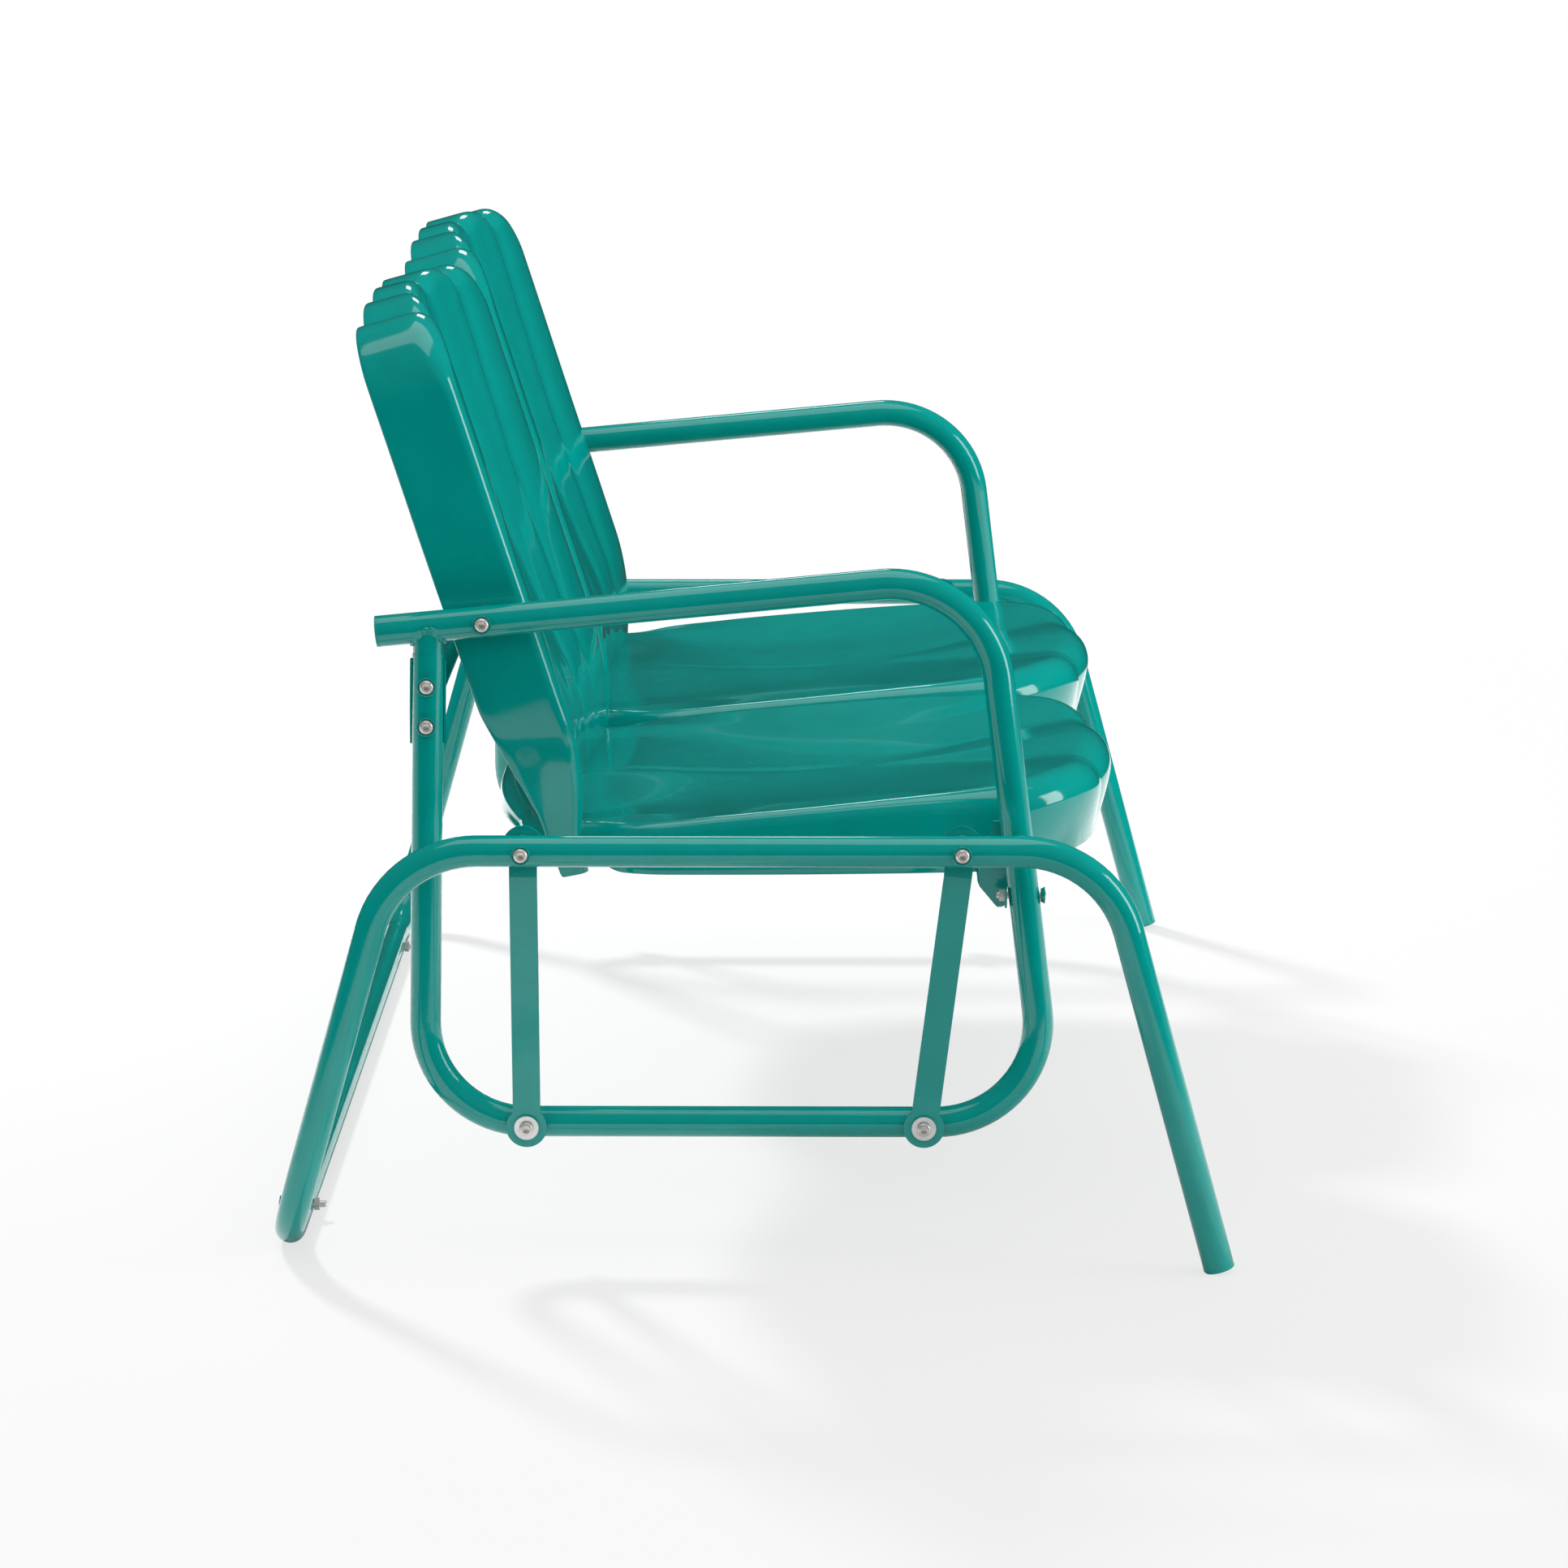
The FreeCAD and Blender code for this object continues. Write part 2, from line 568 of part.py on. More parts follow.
bar_tube = ring("rear_bar_tube", "Sizes.rear_bar_od / 2", "Sizes.rear_bar_od / 2 - Sizes.tube_wall",
                "2 * Sizes.rear_bar_half + 1")
bar_tube.Placement = Placement(Vector(-size("rear_bar_half") - 0.5, bar_y, bar_z), along((1, 0, 0)))
strap_bolts = [(226, 488), (226, 512)]
strap_half = size("strap_thick") / 2
strap_plate = box("strap_plate", (-strap_half, size("strap_front_y"), bar_z - size("strap_half_height")),
                  (strap_half, bar_y - size("rear_bar_od") / 2 + 3, bar_z + size("strap_half_height")))
strap_holes = [through_hole("strap_hole_%d" % number, "Sizes.bolt_eight", (0, y, z), (1, 0, 0))
               for number, (y, z) in enumerate(strap_bolts)]
strap_cope = cylinder("strap_cope", "Sizes.rear_bar_od / 2 - 0.5", "40", (-20, bar_y, bar_z), (1, 0, 0))
strap = cut("strap", strap_plate, strap_holes + [strap_cope])
node("rear_crossbar", fuse("rear_bar", [bar_tube, saddle("left", -1), saddle("right", 1), strap]))


# Front crossbar: an open channel under the seats, with an end plate on each front post

channel_y = front_y_bolt[0] + tube_radius + 1.5


def channel_points(x):
    """Section of the channel in the YZ plane: front wall, rounded foot and slanting rear wall."""
    front = channel_y
    rear = channel_y + 24
    return [Vector(x, front, 333), Vector(x, front, 318), Vector(x, front + 5, 309),
            Vector(x, front + 10, 311), Vector(x, rear, 328), Vector(x, rear + 2, 333)]


def channel_solid(name, x_from, x_to):
    points = channel_points(x_from)
    edges = [line(points[0], points[1]), arc(points[1], points[2], points[3]), line(points[3], points[4]),
             line(points[4], points[5])]
    thickness = Vector(0, size("channel_thick"), 0)
    inner = [Vector(p.x, p.y + size("channel_thick") * turn, p.z + lift)
             for p, turn, lift in zip(points, (1, 1, 0.2, -0.1, -1.2, -1), (0, 0, 2, 2.2, 0.5, 0))]
    edges += [line(points[5], inner[5]), line(inner[5], inner[4]), line(inner[4], inner[3]),
              arc(inner[3], inner[2], inner[1]), line(inner[1], inner[0]), line(inner[0], points[0])]
    profile = add("Part::Feature", name + "_profile")
    profile.Shape = Part.Face(Part.Wire(edges))
    solid = add("Part::Extrusion", name)
    solid.Base = profile
    solid.Dir = Vector(1, 0, 0)
    solid.LengthFwd = x_to - x_from
    return solid


def end_plate(label, side):
    """Plate against the inner face of the front post, over the end of the channel."""
    outer_x = frame_x(front_x_bolt[1]) - tube_radius - size("end_plate_gap")
    spots = [(channel_y - 1, 312), (channel_y + 8, 310), (channel_y + 24, 331), (channel_y + 26, 350),
             (channel_y + 12, 390), (front_x_bolt[0] - 8, 390), (front_x_bolt[0] - 10, 360),
             (channel_y - 1, 345)]
    corners = [Vector(side * outer_x, y, z) for y, z in spots]
    face = add("Part::Feature", "end_plate_profile_" + label)
    face.Shape = Part.Face(Part.makePolygon(corners + corners[:1]))
    plate = add("Part::Extrusion", "end_plate_" + label)
    plate.Base = face
    plate.Dir = Vector(-side, 0, 0)
    plate.LengthFwd = size("end_plate_thick")
    return cut("end_plate_drilled_" + label, plate,
               [through_hole("end_plate_hole_" + label, "Sizes.bolt_eight",
                             tuple(frame_point(side, front_x_bolt)), (1, 0, 0))])


channel = channel_solid("channel", -size("front_bar_half"), size("front_bar_half"))
bracket_spots = [side * size("seat_pitch") / 2 + turn * 110 for label, side in SIDES for turn in (-1, 1)]
bar_holes = [through_hole("bar_hole_" + label, "Sizes.bolt_six",
                          (side * (frame_x(front_y_bolt[1])), front_y_bolt[0], front_y_bolt[1]), (0, 1, 0))
             for label, side in SIDES]
bar_holes += [through_hole("bracket_hole_%d" % number, "Sizes.bolt_six", (x, channel_y, 325), (0, 1, 0), 16)
              for number, x in enumerate(bracket_spots)]


def lug(label, side):
    """Tab that carries the channel's front wall out behind the post."""
    x_in, x_out = size("front_bar_half") - 4, frame_x(front_y_bolt[1]) + 8
    return box("lug_" + label, (min(side * x_in, side * x_out), channel_y, 316),
               (max(side * x_in, side * x_out), channel_y + size("channel_thick"), 333))


front_bar = fuse("front_bar", [channel, end_plate("left", -1), end_plate("right", 1),
                               lug("left", -1), lug("right", 1)])
node("front_crossbar", cut("front_bar_drilled", front_bar, bar_holes))
cross_cup_y = front_y_bolt[0] - tube_radius - size("cross_gap")


def at_cross_bolts(prototype, y, turn):
    """Place a prototype on the fore-and-aft bolt of each front post."""
    x, z = frame_x(front_y_bolt[1]), front_y_bolt[1]
    return [(prototype, (side * x, y, z), (0, turn, 0)) for label, side in SIDES]


group("front_crossbar_cross_bolts", at_cross_bolts(long_six, cross_cup_y - cup_seat * 0.88, -1))
group("front_crossbar_cross_nuts", at_cross_bolts(nut_six, channel_y + size("channel_thick"), 1))


# Bolts through the posts that hold both crossbars

post_spots = post_bolt_spots + [front_x_bolt]
saddle_stack = size("saddle_play") + size("saddle_thick") + size("lean_gap") + 0.2
plate_stack = size("end_plate_gap") + size("end_plate_thick") + 0.2
cup_on_post = tube_radius + size("lean_gap")
group("crossbar_bolts", [(post_bolt, (side * (frame_x(z) + cup_on_post + cup_seat), y, z), (side, 0, 0))
                         for label, side in SIDES for y, z in post_spots])
group("crossbar_nuts", [(nut_eight, (side * (frame_x(z) - tube_radius - stack), y, z), (-side, 0, 0))
                        for label, side in SIDES
                        for (y, z), stack in zip(post_spots, (saddle_stack, saddle_stack, plate_stack))])


# Cup washers of the seat's own bolts

arm_out = frame_x(arm_bolt_z) + tube_radius + 0.1
cup_spots = [(cup_eight, (side * arm_out, arm_bolt_y, arm_bolt_z), (side, 0, 0)) for label, side in SIDES]
cup_spots += [(cup_eight, (side * (frame_x(z) + cup_on_post), y, z), (side, 0, 0))
              for label, side in SIDES for y, z in post_spots]
group("seat_cup_washers", cup_spots)
group("front_post_cup_washers", at_cross_bolts(cup_six, cross_cup_y, -1))


# Pressed shells: lobed sections lofted into a block, trimmed by the outline, then hollowed

LOBE_BREAKS = (-0.6, -0.2, 0.2, 0.6)


def lobed_section(name, half_width, at, depth, push, corner_low, corner_high):
    """Closed wire with five rounded lobes between the two sides. at(x) gives a base point."""
    stops = [-half_width] + [turn * half_width for turn in LOBE_BREAKS] + [half_width]
    edges = []
    for left, right in zip(stops[:-1], stops[1:]):
        edges.append(arc(at(left), at((left + right) / 2) + push * depth, at(right)))
    edges += [line(at(half_width), corner_high), line(corner_high, corner_low),
              line(corner_low, at(-half_width))]
    return wire(name, edges)


def loft(name, sections):
    thing = add("Part::Loft", name)
    thing.Sections = sections
    thing.Solid = True
    thing.Ruled = True
    return thing


# Seat pan: stations along Y as (y, crest height, dish depth, lobe height, lower edge)
PAN_STATIONS = [
    (-350, 398, 2, 5, 335), (-318, 414, 5, 7, 335), (-270, 414, 12, 7, 335), (-200, 405, 17, 6, 335),
    (-120, 398, 20, 5, 335), (-30, 389, 21, 4, 335), (60, 380, 17, 3, 335), (134, 373, 10, 2, 335),
    (190, 371, 5, 2, 350), (256, 372, 2, 2, 367),
]


def pan_block(name, inset):
    sections = []
    half = 250
    for number, (y, crest, dish, lobes, low) in enumerate(PAN_STATIONS):
        top = crest - inset
        floor = low if inset == 0 else low - 20

        def at(x, y=y, top=top, dish=dish):
            return Vector(x, y, top - dish * (1 - (x / half) ** 2))
        sections.append(lobed_section("%s_%d" % (name, number), half, at, lobes, Vector(0, 0, 1),
                                      Vector(-half, y, floor), Vector(half, y, floor)))
    return loft(name + "_loft", sections)


def pan_outline(inset):
    """Plan of the seat, right half then left: scalloped front, straight sides, stepped-in round rear."""
    right = [
        ("arc", (24, -338), (50, -331)), ("arc", (96, -327), (140, -309)), ("arc", (196, -283), (222, -236)),
        ("line", None, (236, 66)), ("arc", (233, 112), (214.5, 134)), ("line", None, (213, 176)),
        ("arc", (188, 214), (140, 229)), ("arc", (72, 243), (0, 247)),
    ]
    middle = Vector(0, -50, 0)

    def spot(x, y, side):
        scale_x = 1 - inset / 236
        return Vector(side * x * scale_x, middle.y + (y - middle.y) * (1 - inset / 292), 0)
    edges = []
    for side in (1, -1):
        half = []
        start = spot(0, -341, side)
        for kind, via, end in right:
            stop = spot(end[0], end[1], side)
            half.append(line(start, stop) if kind == "line" else arc(start, spot(via[0], via[1], side), stop))
            start = stop
        edges += half if side == 1 else half[::-1]
    return edges


def outline_block(name, edges, start, direction, length):
    profile = add("Part::Feature", name + "_profile")
    profile.Shape = Part.Face(Part.Wire(Part.__sortEdges__(edges)))
    profile.Placement = start
    block = add("Part::Extrusion", name)
    block.Base = profile
    block.Dir = Vector(*direction)
    block.LengthFwd = length
    return block


def pan_solid(name, inset):
    outline = outline_block(name + "_plan", pan_outline(inset), Placement(Vector(0, 0, 280), Rotation()),
                            (0, 0, 1), 170)
    return common(name, pan_block(name, inset), outline)


pan_shell = cut("pan_shell", pan_solid("pan_outer", 0), [pan_solid("pan_inner", size("sheet"))])


# Back: stations along Z as (z, face y, rear edge y, half width of the lobes)
BACK_STATIONS = [
    (320, 151, 166, 218), (370, 153, 184, 221), (393, 153, 196, 223), (430, 155, 214, 228), (474, 164, 234, 235),
    (506, 173, 248, 235), (588, 200, 278, 235), (693, 233, 310, 235), (797, 266, 341, 235), (866, 288, 361, 235),
]
SET_BACK = 12
LOBE_DEPTH = 7


def back_block(name, inset):
    sections = []
    for number, (z, face, rear, half) in enumerate(BACK_STATIONS):
        half = half - inset
        front = face + inset
        end = rear if inset == 0 else rear + 30

        def at(x, z=z, front=front, half=half):
            return Vector(x, front + SET_BACK * (1 - (x / half) ** 2), z)
        sections.append(lobed_section("%s_%d" % (name, number), half, at, LOBE_DEPTH, Vector(0, -1, 0),
                                      Vector(-half, end, z), Vector(half, end, z)))
    return loft(name + "_loft", sections)


def back_outline(inset):
    """Front view in the reclined plane: X across, Y up the back."""
    right = [
        ("arc", (24, 358), (47, 350)), ("arc", (94, 360), (141, 349)), ("arc", (188, 356), (226, 336)),
        ("arc", (233, 328), (236, 312)), ("line", None, (236, -30)), ("line", None, (228, -100)),
        ("line", None, (222, -176)), ("line", None, (0, -176)),
    ]

    def spot(x, v, side):
        return Vector(side * x * (1 - inset / 236), v - inset * (1 if v > 0 else 0), 0)
    edges = []
    for side in (1, -1):
        start = spot(0, 361, side)
        for kind, via, end in right:
            stop = spot(end[0], end[1], side)
            edges.append(line(start, stop) if kind == "line" else arc(start, spot(via[0], via[1], side), stop))
            start = stop
    return edges


recline = math.atan(size("recline_slope"))
back_plane = Rotation(Vector(1, 0, 0), 90 - math.degrees(recline))
back_normal = Vector(0, math.cos(recline), -math.sin(recline))


def back_solid(name, inset):
    start = Vector(0, size("back_recline_y"), size("back_recline_height")) - back_normal * 60
    outline = outline_block(name + "_front_view", back_outline(inset), Placement(start, back_plane),
                            tuple(back_normal), 260)
    return common(name, back_block(name, inset), outline)


lower_gap = box("lower_gap", (-215.5, 120, 300), (215.5, 200, 376))
back_shell = cut("back_shell", back_solid("back_outer", 0), [back_solid("back_inner", size("sheet")), lower_gap])
tab_bolt = (165, 356)


def seat_unit(label, side):
    centre = side * size("seat_pitch") / 2
    pan_copy = add("App::Link", "pan_" + label)
    pan_copy.LinkedObject = pan_shell
    pan_copy.LinkTransform = False
    pan_copy.Placement.Base = Vector(centre, 0, 0)
    back_copy = add("App::Link", "back_" + label)
    back_copy.LinkedObject = back_shell
    back_copy.LinkTransform = False
    back_copy.Placement.Base = Vector(centre, 0, 0)
    tab_hole = through_hole("pan_tab_hole_" + label, "Sizes.bolt_six", (centre, tab_bolt[0], tab_bolt[1]),
                            (1, 0, 0), 520)
    node("seat_pan_" + label, cut("pan_drilled_" + label, pan_copy, [tab_hole]))
    holes = [through_hole("back_tab_hole_" + label, "Sizes.bolt_six", (centre, tab_bolt[0], tab_bolt[1]),
                          (1, 0, 0), 520)]
    holes.append(through_hole("back_arm_hole_" + label, "Sizes.bolt_eight",
                              (side * 478, arm_bolt_y, arm_bolt_z), (1, 0, 0), 30))
    for number, (y, z) in enumerate(strap_bolts):
        holes.append(through_hole("back_strap_hole_%s_%d" % (label, number), "Sizes.bolt_eight",
                                  (side * 8, y, z), (1, 0, 0), 14))
    node("back_shell_" + label, cut("back_drilled_" + label, back_copy, holes))


for label, side in SIDES:
    seat_unit(label, side)

shell_out = (size("seat_pitch") + 2 * size("back_half_width")) / 2
arm_in = frame_x(arm_bolt_z) - tube_radius
arm_spacer = ring("arm_spacer", "Sizes.washer_radius", "Sizes.bolt_eight / 2 + 0.1",
                  str(arm_in - shell_out - 0.4))
group("arm_bolts", [(arm_bolt, (side * (arm_out + cup_seat), arm_bolt_y, arm_bolt_z), (side, 0, 0))
                    for label, side in SIDES])
group("arm_spacers", [(arm_spacer, (side * (shell_out + 0.2), arm_bolt_y, arm_bolt_z), (side, 0, 0))
                      for label, side in SIDES])
group("arm_nuts", [(nut_eight, (side * (shell_out - size("sheet") - 0.1), arm_bolt_y, arm_bolt_z), (-side, 0, 0))
                   for label, side in SIDES])

shell_gap = (size("seat_pitch") - 2 * size("back_half_width")) / 2
strap_spacer = ring("strap_spacer", "Sizes.washer_radius", "Sizes.bolt_eight / 2 + 0.1",
                    str(shell_gap - strap_half - 0.2))
group("strap_spacers", [(strap_spacer, (side * (strap_half + 0.1), y, z), (side, 0, 0))
                        for label, side in SIDES for y, z in strap_bolts])
inner_wall = shell_gap + size("sheet")
group("strap_bolts", [(strap_bolt, (-inner_wall - 0.1, y, z), (-1, 0, 0)) for y, z in strap_bolts])
group("strap_nuts", [(nut_eight, (inner_wall + 0.1, y, z), (1, 0, 0)) for y, z in strap_bolts])

# Tab bolts, with a washer between the back's tab and the seat's side. Half widths where the bolts pass
TAB_OUT = 220.2
TAB_IN = 213.3
tab_spots = [(side * size("seat_pitch") / 2, turn) for label, side in SIDES for turn in (-1, 1)]
tab_washer = ring("tab_washer", "7", "Sizes.bolt_six / 2 + 0.1", "4.1")
group("tab_bolts", [(short_six, (x + turn * (TAB_OUT + 0.45), tab_bolt[0], tab_bolt[1]), (turn, 0, 0))
                    for x, turn in tab_spots])
group("tab_washers", [(tab_washer, (x + turn * (TAB_IN + 0.6), tab_bolt[0], tab_bolt[1]), (turn, 0, 0))
                      for x, turn in tab_spots])
tab_nut_x = TAB_IN - size("sheet") - 0.3
group("tab_nuts", [(nut_six, (x + turn * tab_nut_x, tab_bolt[0], tab_bolt[1]), (-turn, 0, 0))
                   for x, turn in tab_spots])


# Brackets that carry the front of each seat on the channel

def pan_bracket(name):
    riser = box(name + "_riser", (-15, channel_y - 3.2, 319), (15, channel_y - 0.2, 376))
    shelf = box(name + "_shelf", (-15, channel_y - 23, 373), (15, channel_y - 0.2, 376))
    hole = through_hole(name + "_hole", "Sizes.bolt_six", (0, channel_y, 325), (0, 1, 0), 16)
    return cut(name, fuse(name + "_solid", [riser, shelf]), [hole])


bracket = pan_bracket("pan_bracket")
group("pan_brackets", [(bracket, (x, 0, 0), (0, 0, 1)) for x in bracket_spots])
group("pan_bracket_bolts", [(short_six, (x, channel_y - 3.3, 325), (0, -1, 0)) for x in bracket_spots])
group("pan_bracket_nuts", [(nut_six, (x, channel_y + size("channel_thick") + 0.1, 325), (0, 1, 0))
                           for x in bracket_spots])

doc.recompute()

# Check every object before anything is written
faults = []
for thing in doc.Objects:
    if "Invalid" in thing.State or "Error" in thing.State:
        faults.append("%s is %s" % (thing.Name, thing.State))
for name, thing in nodes.items():
    shape = thing.Shape
    if shape.isNull() or not shape.isValid() or not shape.Solids:
        faults.append("%s has no valid solid" % name)
if faults:
    raise RuntimeError("; ".join(faults))

os.makedirs("parts", exist_ok=True)
whole = FreeCAD.BoundBox()
for name, thing in sorted(nodes.items()):
    thing.Shape.exportStep("parts/%s.step" % name)
    whole.add(thing.Shape.BoundBox)
    print("%-30s solids %2d volume %10.1f" % (name, len(thing.Shape.Solids), thing.Shape.Volume))
print(len(nodes), "nodes", whole)
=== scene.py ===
import json
import math

import bpy
import numpy as np
from mathutils import Matrix, Vector


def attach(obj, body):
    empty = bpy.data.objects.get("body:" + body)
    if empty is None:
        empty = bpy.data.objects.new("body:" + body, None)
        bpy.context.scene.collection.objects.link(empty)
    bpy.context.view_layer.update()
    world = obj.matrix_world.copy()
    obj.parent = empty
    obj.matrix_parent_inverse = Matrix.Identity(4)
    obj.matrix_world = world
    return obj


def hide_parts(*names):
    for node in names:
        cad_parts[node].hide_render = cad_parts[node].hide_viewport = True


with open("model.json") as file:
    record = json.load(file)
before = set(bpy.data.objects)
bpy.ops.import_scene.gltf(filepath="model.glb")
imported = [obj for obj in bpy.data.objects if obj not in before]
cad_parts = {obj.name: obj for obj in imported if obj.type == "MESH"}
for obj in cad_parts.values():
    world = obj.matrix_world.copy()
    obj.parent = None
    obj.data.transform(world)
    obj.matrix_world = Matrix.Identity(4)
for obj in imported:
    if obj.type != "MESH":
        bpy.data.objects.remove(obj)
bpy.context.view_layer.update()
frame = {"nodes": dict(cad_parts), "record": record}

# A two-seat glider bench in gloss teal. Sizes are in millimetres and become metres in the meshes.
# X runs across the bench, the sitters face -Y and Z is up. Left is the -X side, nearest the camera.

MM = 0.001
nodes = frame["nodes"]
SIDES = (("left", -1), ("right", 1))


# Small helpers


def deselect():
    bpy.ops.object.select_all(action="DESELECT")


def activate(piece):
    deselect()
    piece.select_set(True)
    bpy.context.view_layer.objects.active = piece


def name_piece(name):
    """Name the primitive that was just added, and its mesh."""
    piece = bpy.context.active_object
    piece.name = name
    piece.data.name = name
    return piece


def modify(piece, kind, **settings):
    """Add a modifier with its settings and apply it."""
    activate(piece)
    modifier = piece.modifiers.new(kind.title(), kind)
    for setting, value in settings.items():
        setattr(modifier, setting, value)
    bpy.ops.object.modifier_apply(modifier=modifier.name)


def smooth(piece, angle):
    activate(piece)
    bpy.ops.object.shade_smooth_by_angle(angle=math.radians(angle))


def outward(piece, merge=0):
    """Turn the faces outwards, once points closer than merge millimetres are one."""
    activate(piece)
    bpy.ops.object.mode_set(mode="EDIT")
    bpy.ops.mesh.select_all(action="SELECT")
    if merge:
        bpy.ops.mesh.remove_doubles(threshold=merge * MM)
    bpy.ops.mesh.normals_make_consistent(inside=False)
    bpy.ops.object.mode_set(mode="OBJECT")


def copied(piece, name, shift=(0, 0, 0)):
    """A copy with its own mesh, moved by shift."""
    twin = piece.copy()
    twin.data = piece.data.copy()
    twin.name = name
    twin.data.name = name
    bpy.context.scene.collection.objects.link(twin)
    twin.data.transform(Matrix.Translation(Vector(shift) * MM))
    return twin


def joined(pieces):
    """Join pieces into the first of them."""
    activate(pieces[0])
    for piece in pieces[1:]:
        piece.select_set(True)
    bpy.ops.object.join()
    return pieces[0]


# Materials: building blocks


def node_group(name, inputs, outputs):
    """A node group with named values as inputs and outputs, and its two end nodes."""
    group = bpy.data.node_groups.new(name, "ShaderNodeTree")
    for socket, value in inputs:
        made = group.interface.new_socket(socket, in_out="INPUT", socket_type="NodeSocketFloat")
        made.default_value = value
    for socket in outputs:
        group.interface.new_socket(socket, in_out="OUTPUT", socket_type="NodeSocketFloat")
    start = group.nodes.new("NodeGroupInput")
    end = group.nodes.new("NodeGroupOutput")
    return group, start, end


def placed_group(tree, group, **values):
    node = tree.nodes.new("ShaderNodeGroup")
    node.node_tree = group
    for name, value in values.items():
        node.inputs[name.replace("_", " ")].default_value = value
    return node


def math_node(tree, operation, first, second):
    """A math node whose two inputs are numbers or sockets."""
    node = tree.nodes.new("ShaderNodeMath")
    node.operation = operation
    for socket, value in zip(node.inputs, (first, second)):
        if isinstance(value, (int, float)):
            socket.default_value = value
        else:
            tree.links.new(value, socket)
    return node.outputs[0]


def noise_node(tree, vector, scale, detail, roughness=0.5):
    """Noise from 0 to 1, with its scale as a number or a socket."""
    node = tree.nodes.new("ShaderNodeTexNoise")
    tree.links.new(vector, node.inputs["Vector"])
    if isinstance(scale, (int, float)):
        node.inputs["Scale"].default_value = scale
    else:
        tree.links.new(scale, node.inputs["Scale"])
    node.inputs["Detail"].default_value = detail
    node.inputs["Roughness"].default_value = roughness
    return node.outputs["Fac"]


def ranged(tree, value, low, high, out_low, out_high):
    """The value, moved from the range low to high into the range out_low to out_high."""
    node = tree.nodes.new("ShaderNodeMapRange")
    tree.links.new(value, node.inputs["Value"])
    for socket, number in zip(("From Min", "From Max", "To Min", "To Max"), (low, high, out_low, out_high)):
        node.inputs[socket].default_value = number
    return node.outputs["Result"]


def mixed_colour(tree, factor, first, second):
    """Mix of two colours, each three numbers or a socket."""
    node = tree.nodes.new("ShaderNodeMix")
    node.data_type = "RGBA"
    tree.links.new(factor, node.inputs["Factor"])
    for name, colour in (("A", first), ("B", second)):
        if isinstance(colour, tuple):
            node.inputs[name].default_value = (*colour, 1)
        else:
            tree.links.new(colour, node.inputs[name])
    return node.outputs["Result"]


def mixed_shader(tree, factor, first, second):
    mix = tree.nodes.new("ShaderNodeMixShader")
    tree.links.new(factor, mix.inputs[0])
    tree.links.new(first.outputs[0], mix.inputs[1])
    tree.links.new(second.outputs[0], mix.inputs[2])
    return mix


def object_place(tree):
    return tree.nodes.new("ShaderNodeTexCoord").outputs["Object"]


def split_axes(tree, vector):
    split = tree.nodes.new("ShaderNodeSeparateXYZ")
    tree.links.new(vector, split.inputs[0])
    return split.outputs


def bumped(tree, shader, height, strength, distance):
    bump = tree.nodes.new("ShaderNodeBump")
    bump.inputs["Strength"].default_value = strength
    bump.inputs["Distance"].default_value = distance
    tree.links.new(height, bump.inputs["Height"])
    tree.links.new(bump.outputs["Normal"], shader.inputs["Normal"])


def new_material(name):
    material = bpy.data.materials.new(name)
    material.use_nodes = True
    return material, material.node_tree, material.node_tree.nodes["Principled BSDF"]


def grey(value):
    return (value,) * 3


# Materials: shared effects


def coat_ripple_group():
    """Height of a sprayed coat: a slow sag and a fine orange peel."""
    group, start, end = node_group("coat_ripple", [("Peel Scale", 420.0), ("Peel Height", 0.4),
                                                   ("Sag Scale", 9.0), ("Sag Height", 1.0)], ["Height"])
    place = object_place(group)
    peel = noise_node(group, place, start.outputs["Peel Scale"], detail=2.0)
    sag = noise_node(group, place, start.outputs["Sag Scale"], detail=1.0)
    fine = math_node(group, "MULTIPLY", peel, start.outputs["Peel Height"])
    slow = math_node(group, "MULTIPLY", sag, start.outputs["Sag Height"])
    group.links.new(math_node(group, "ADD", fine, slow), end.inputs["Height"])
    return group


def surface_wear_group():
    """Masks for dust that settles on faces that look up, and for fine uneven sheen."""
    group, start, end = node_group("surface_wear", [("Dust", 0.1), ("Sheen Scale", 60.0)], ["Dust", "Sheen"])
    place = object_place(group)
    normal = group.nodes.new("ShaderNodeNewGeometry").outputs["Normal"]
    up = math_node(group, "MAXIMUM", split_axes(group, normal)["Z"], 0.0)
    patches = noise_node(group, place, scale=22.0, detail=5.0, roughness=0.6)
    dusty = math_node(group, "MULTIPLY", math_node(group, "MULTIPLY", up, patches), start.outputs["Dust"])
    group.links.new(dusty, end.inputs["Dust"])
    group.links.new(noise_node(group, place, start.outputs["Sheen Scale"], detail=4.0), end.inputs["Sheen"])
    return group


coat_ripple = coat_ripple_group()
surface_wear = surface_wear_group()


# Materials: the bench's finishes

TEAL_DEEP = (0.000, 0.270, 0.238)
TEAL_LIGHT = (0.000, 0.292, 0.258)
COAT_ROUGHNESS = 0.09
DUST_ROUGHNESS = 0.05
METAL_SHADE = 0.84


def teal_drift(tree, shader, wear):
    """Slight drift between two teals."""
    drift = ranged(tree, wear.outputs["Sheen"], 0.3, 0.7, 0.0, 1.0)
    tree.links.new(mixed_colour(tree, drift, TEAL_DEEP, TEAL_LIGHT), shader.inputs["Base Color"])


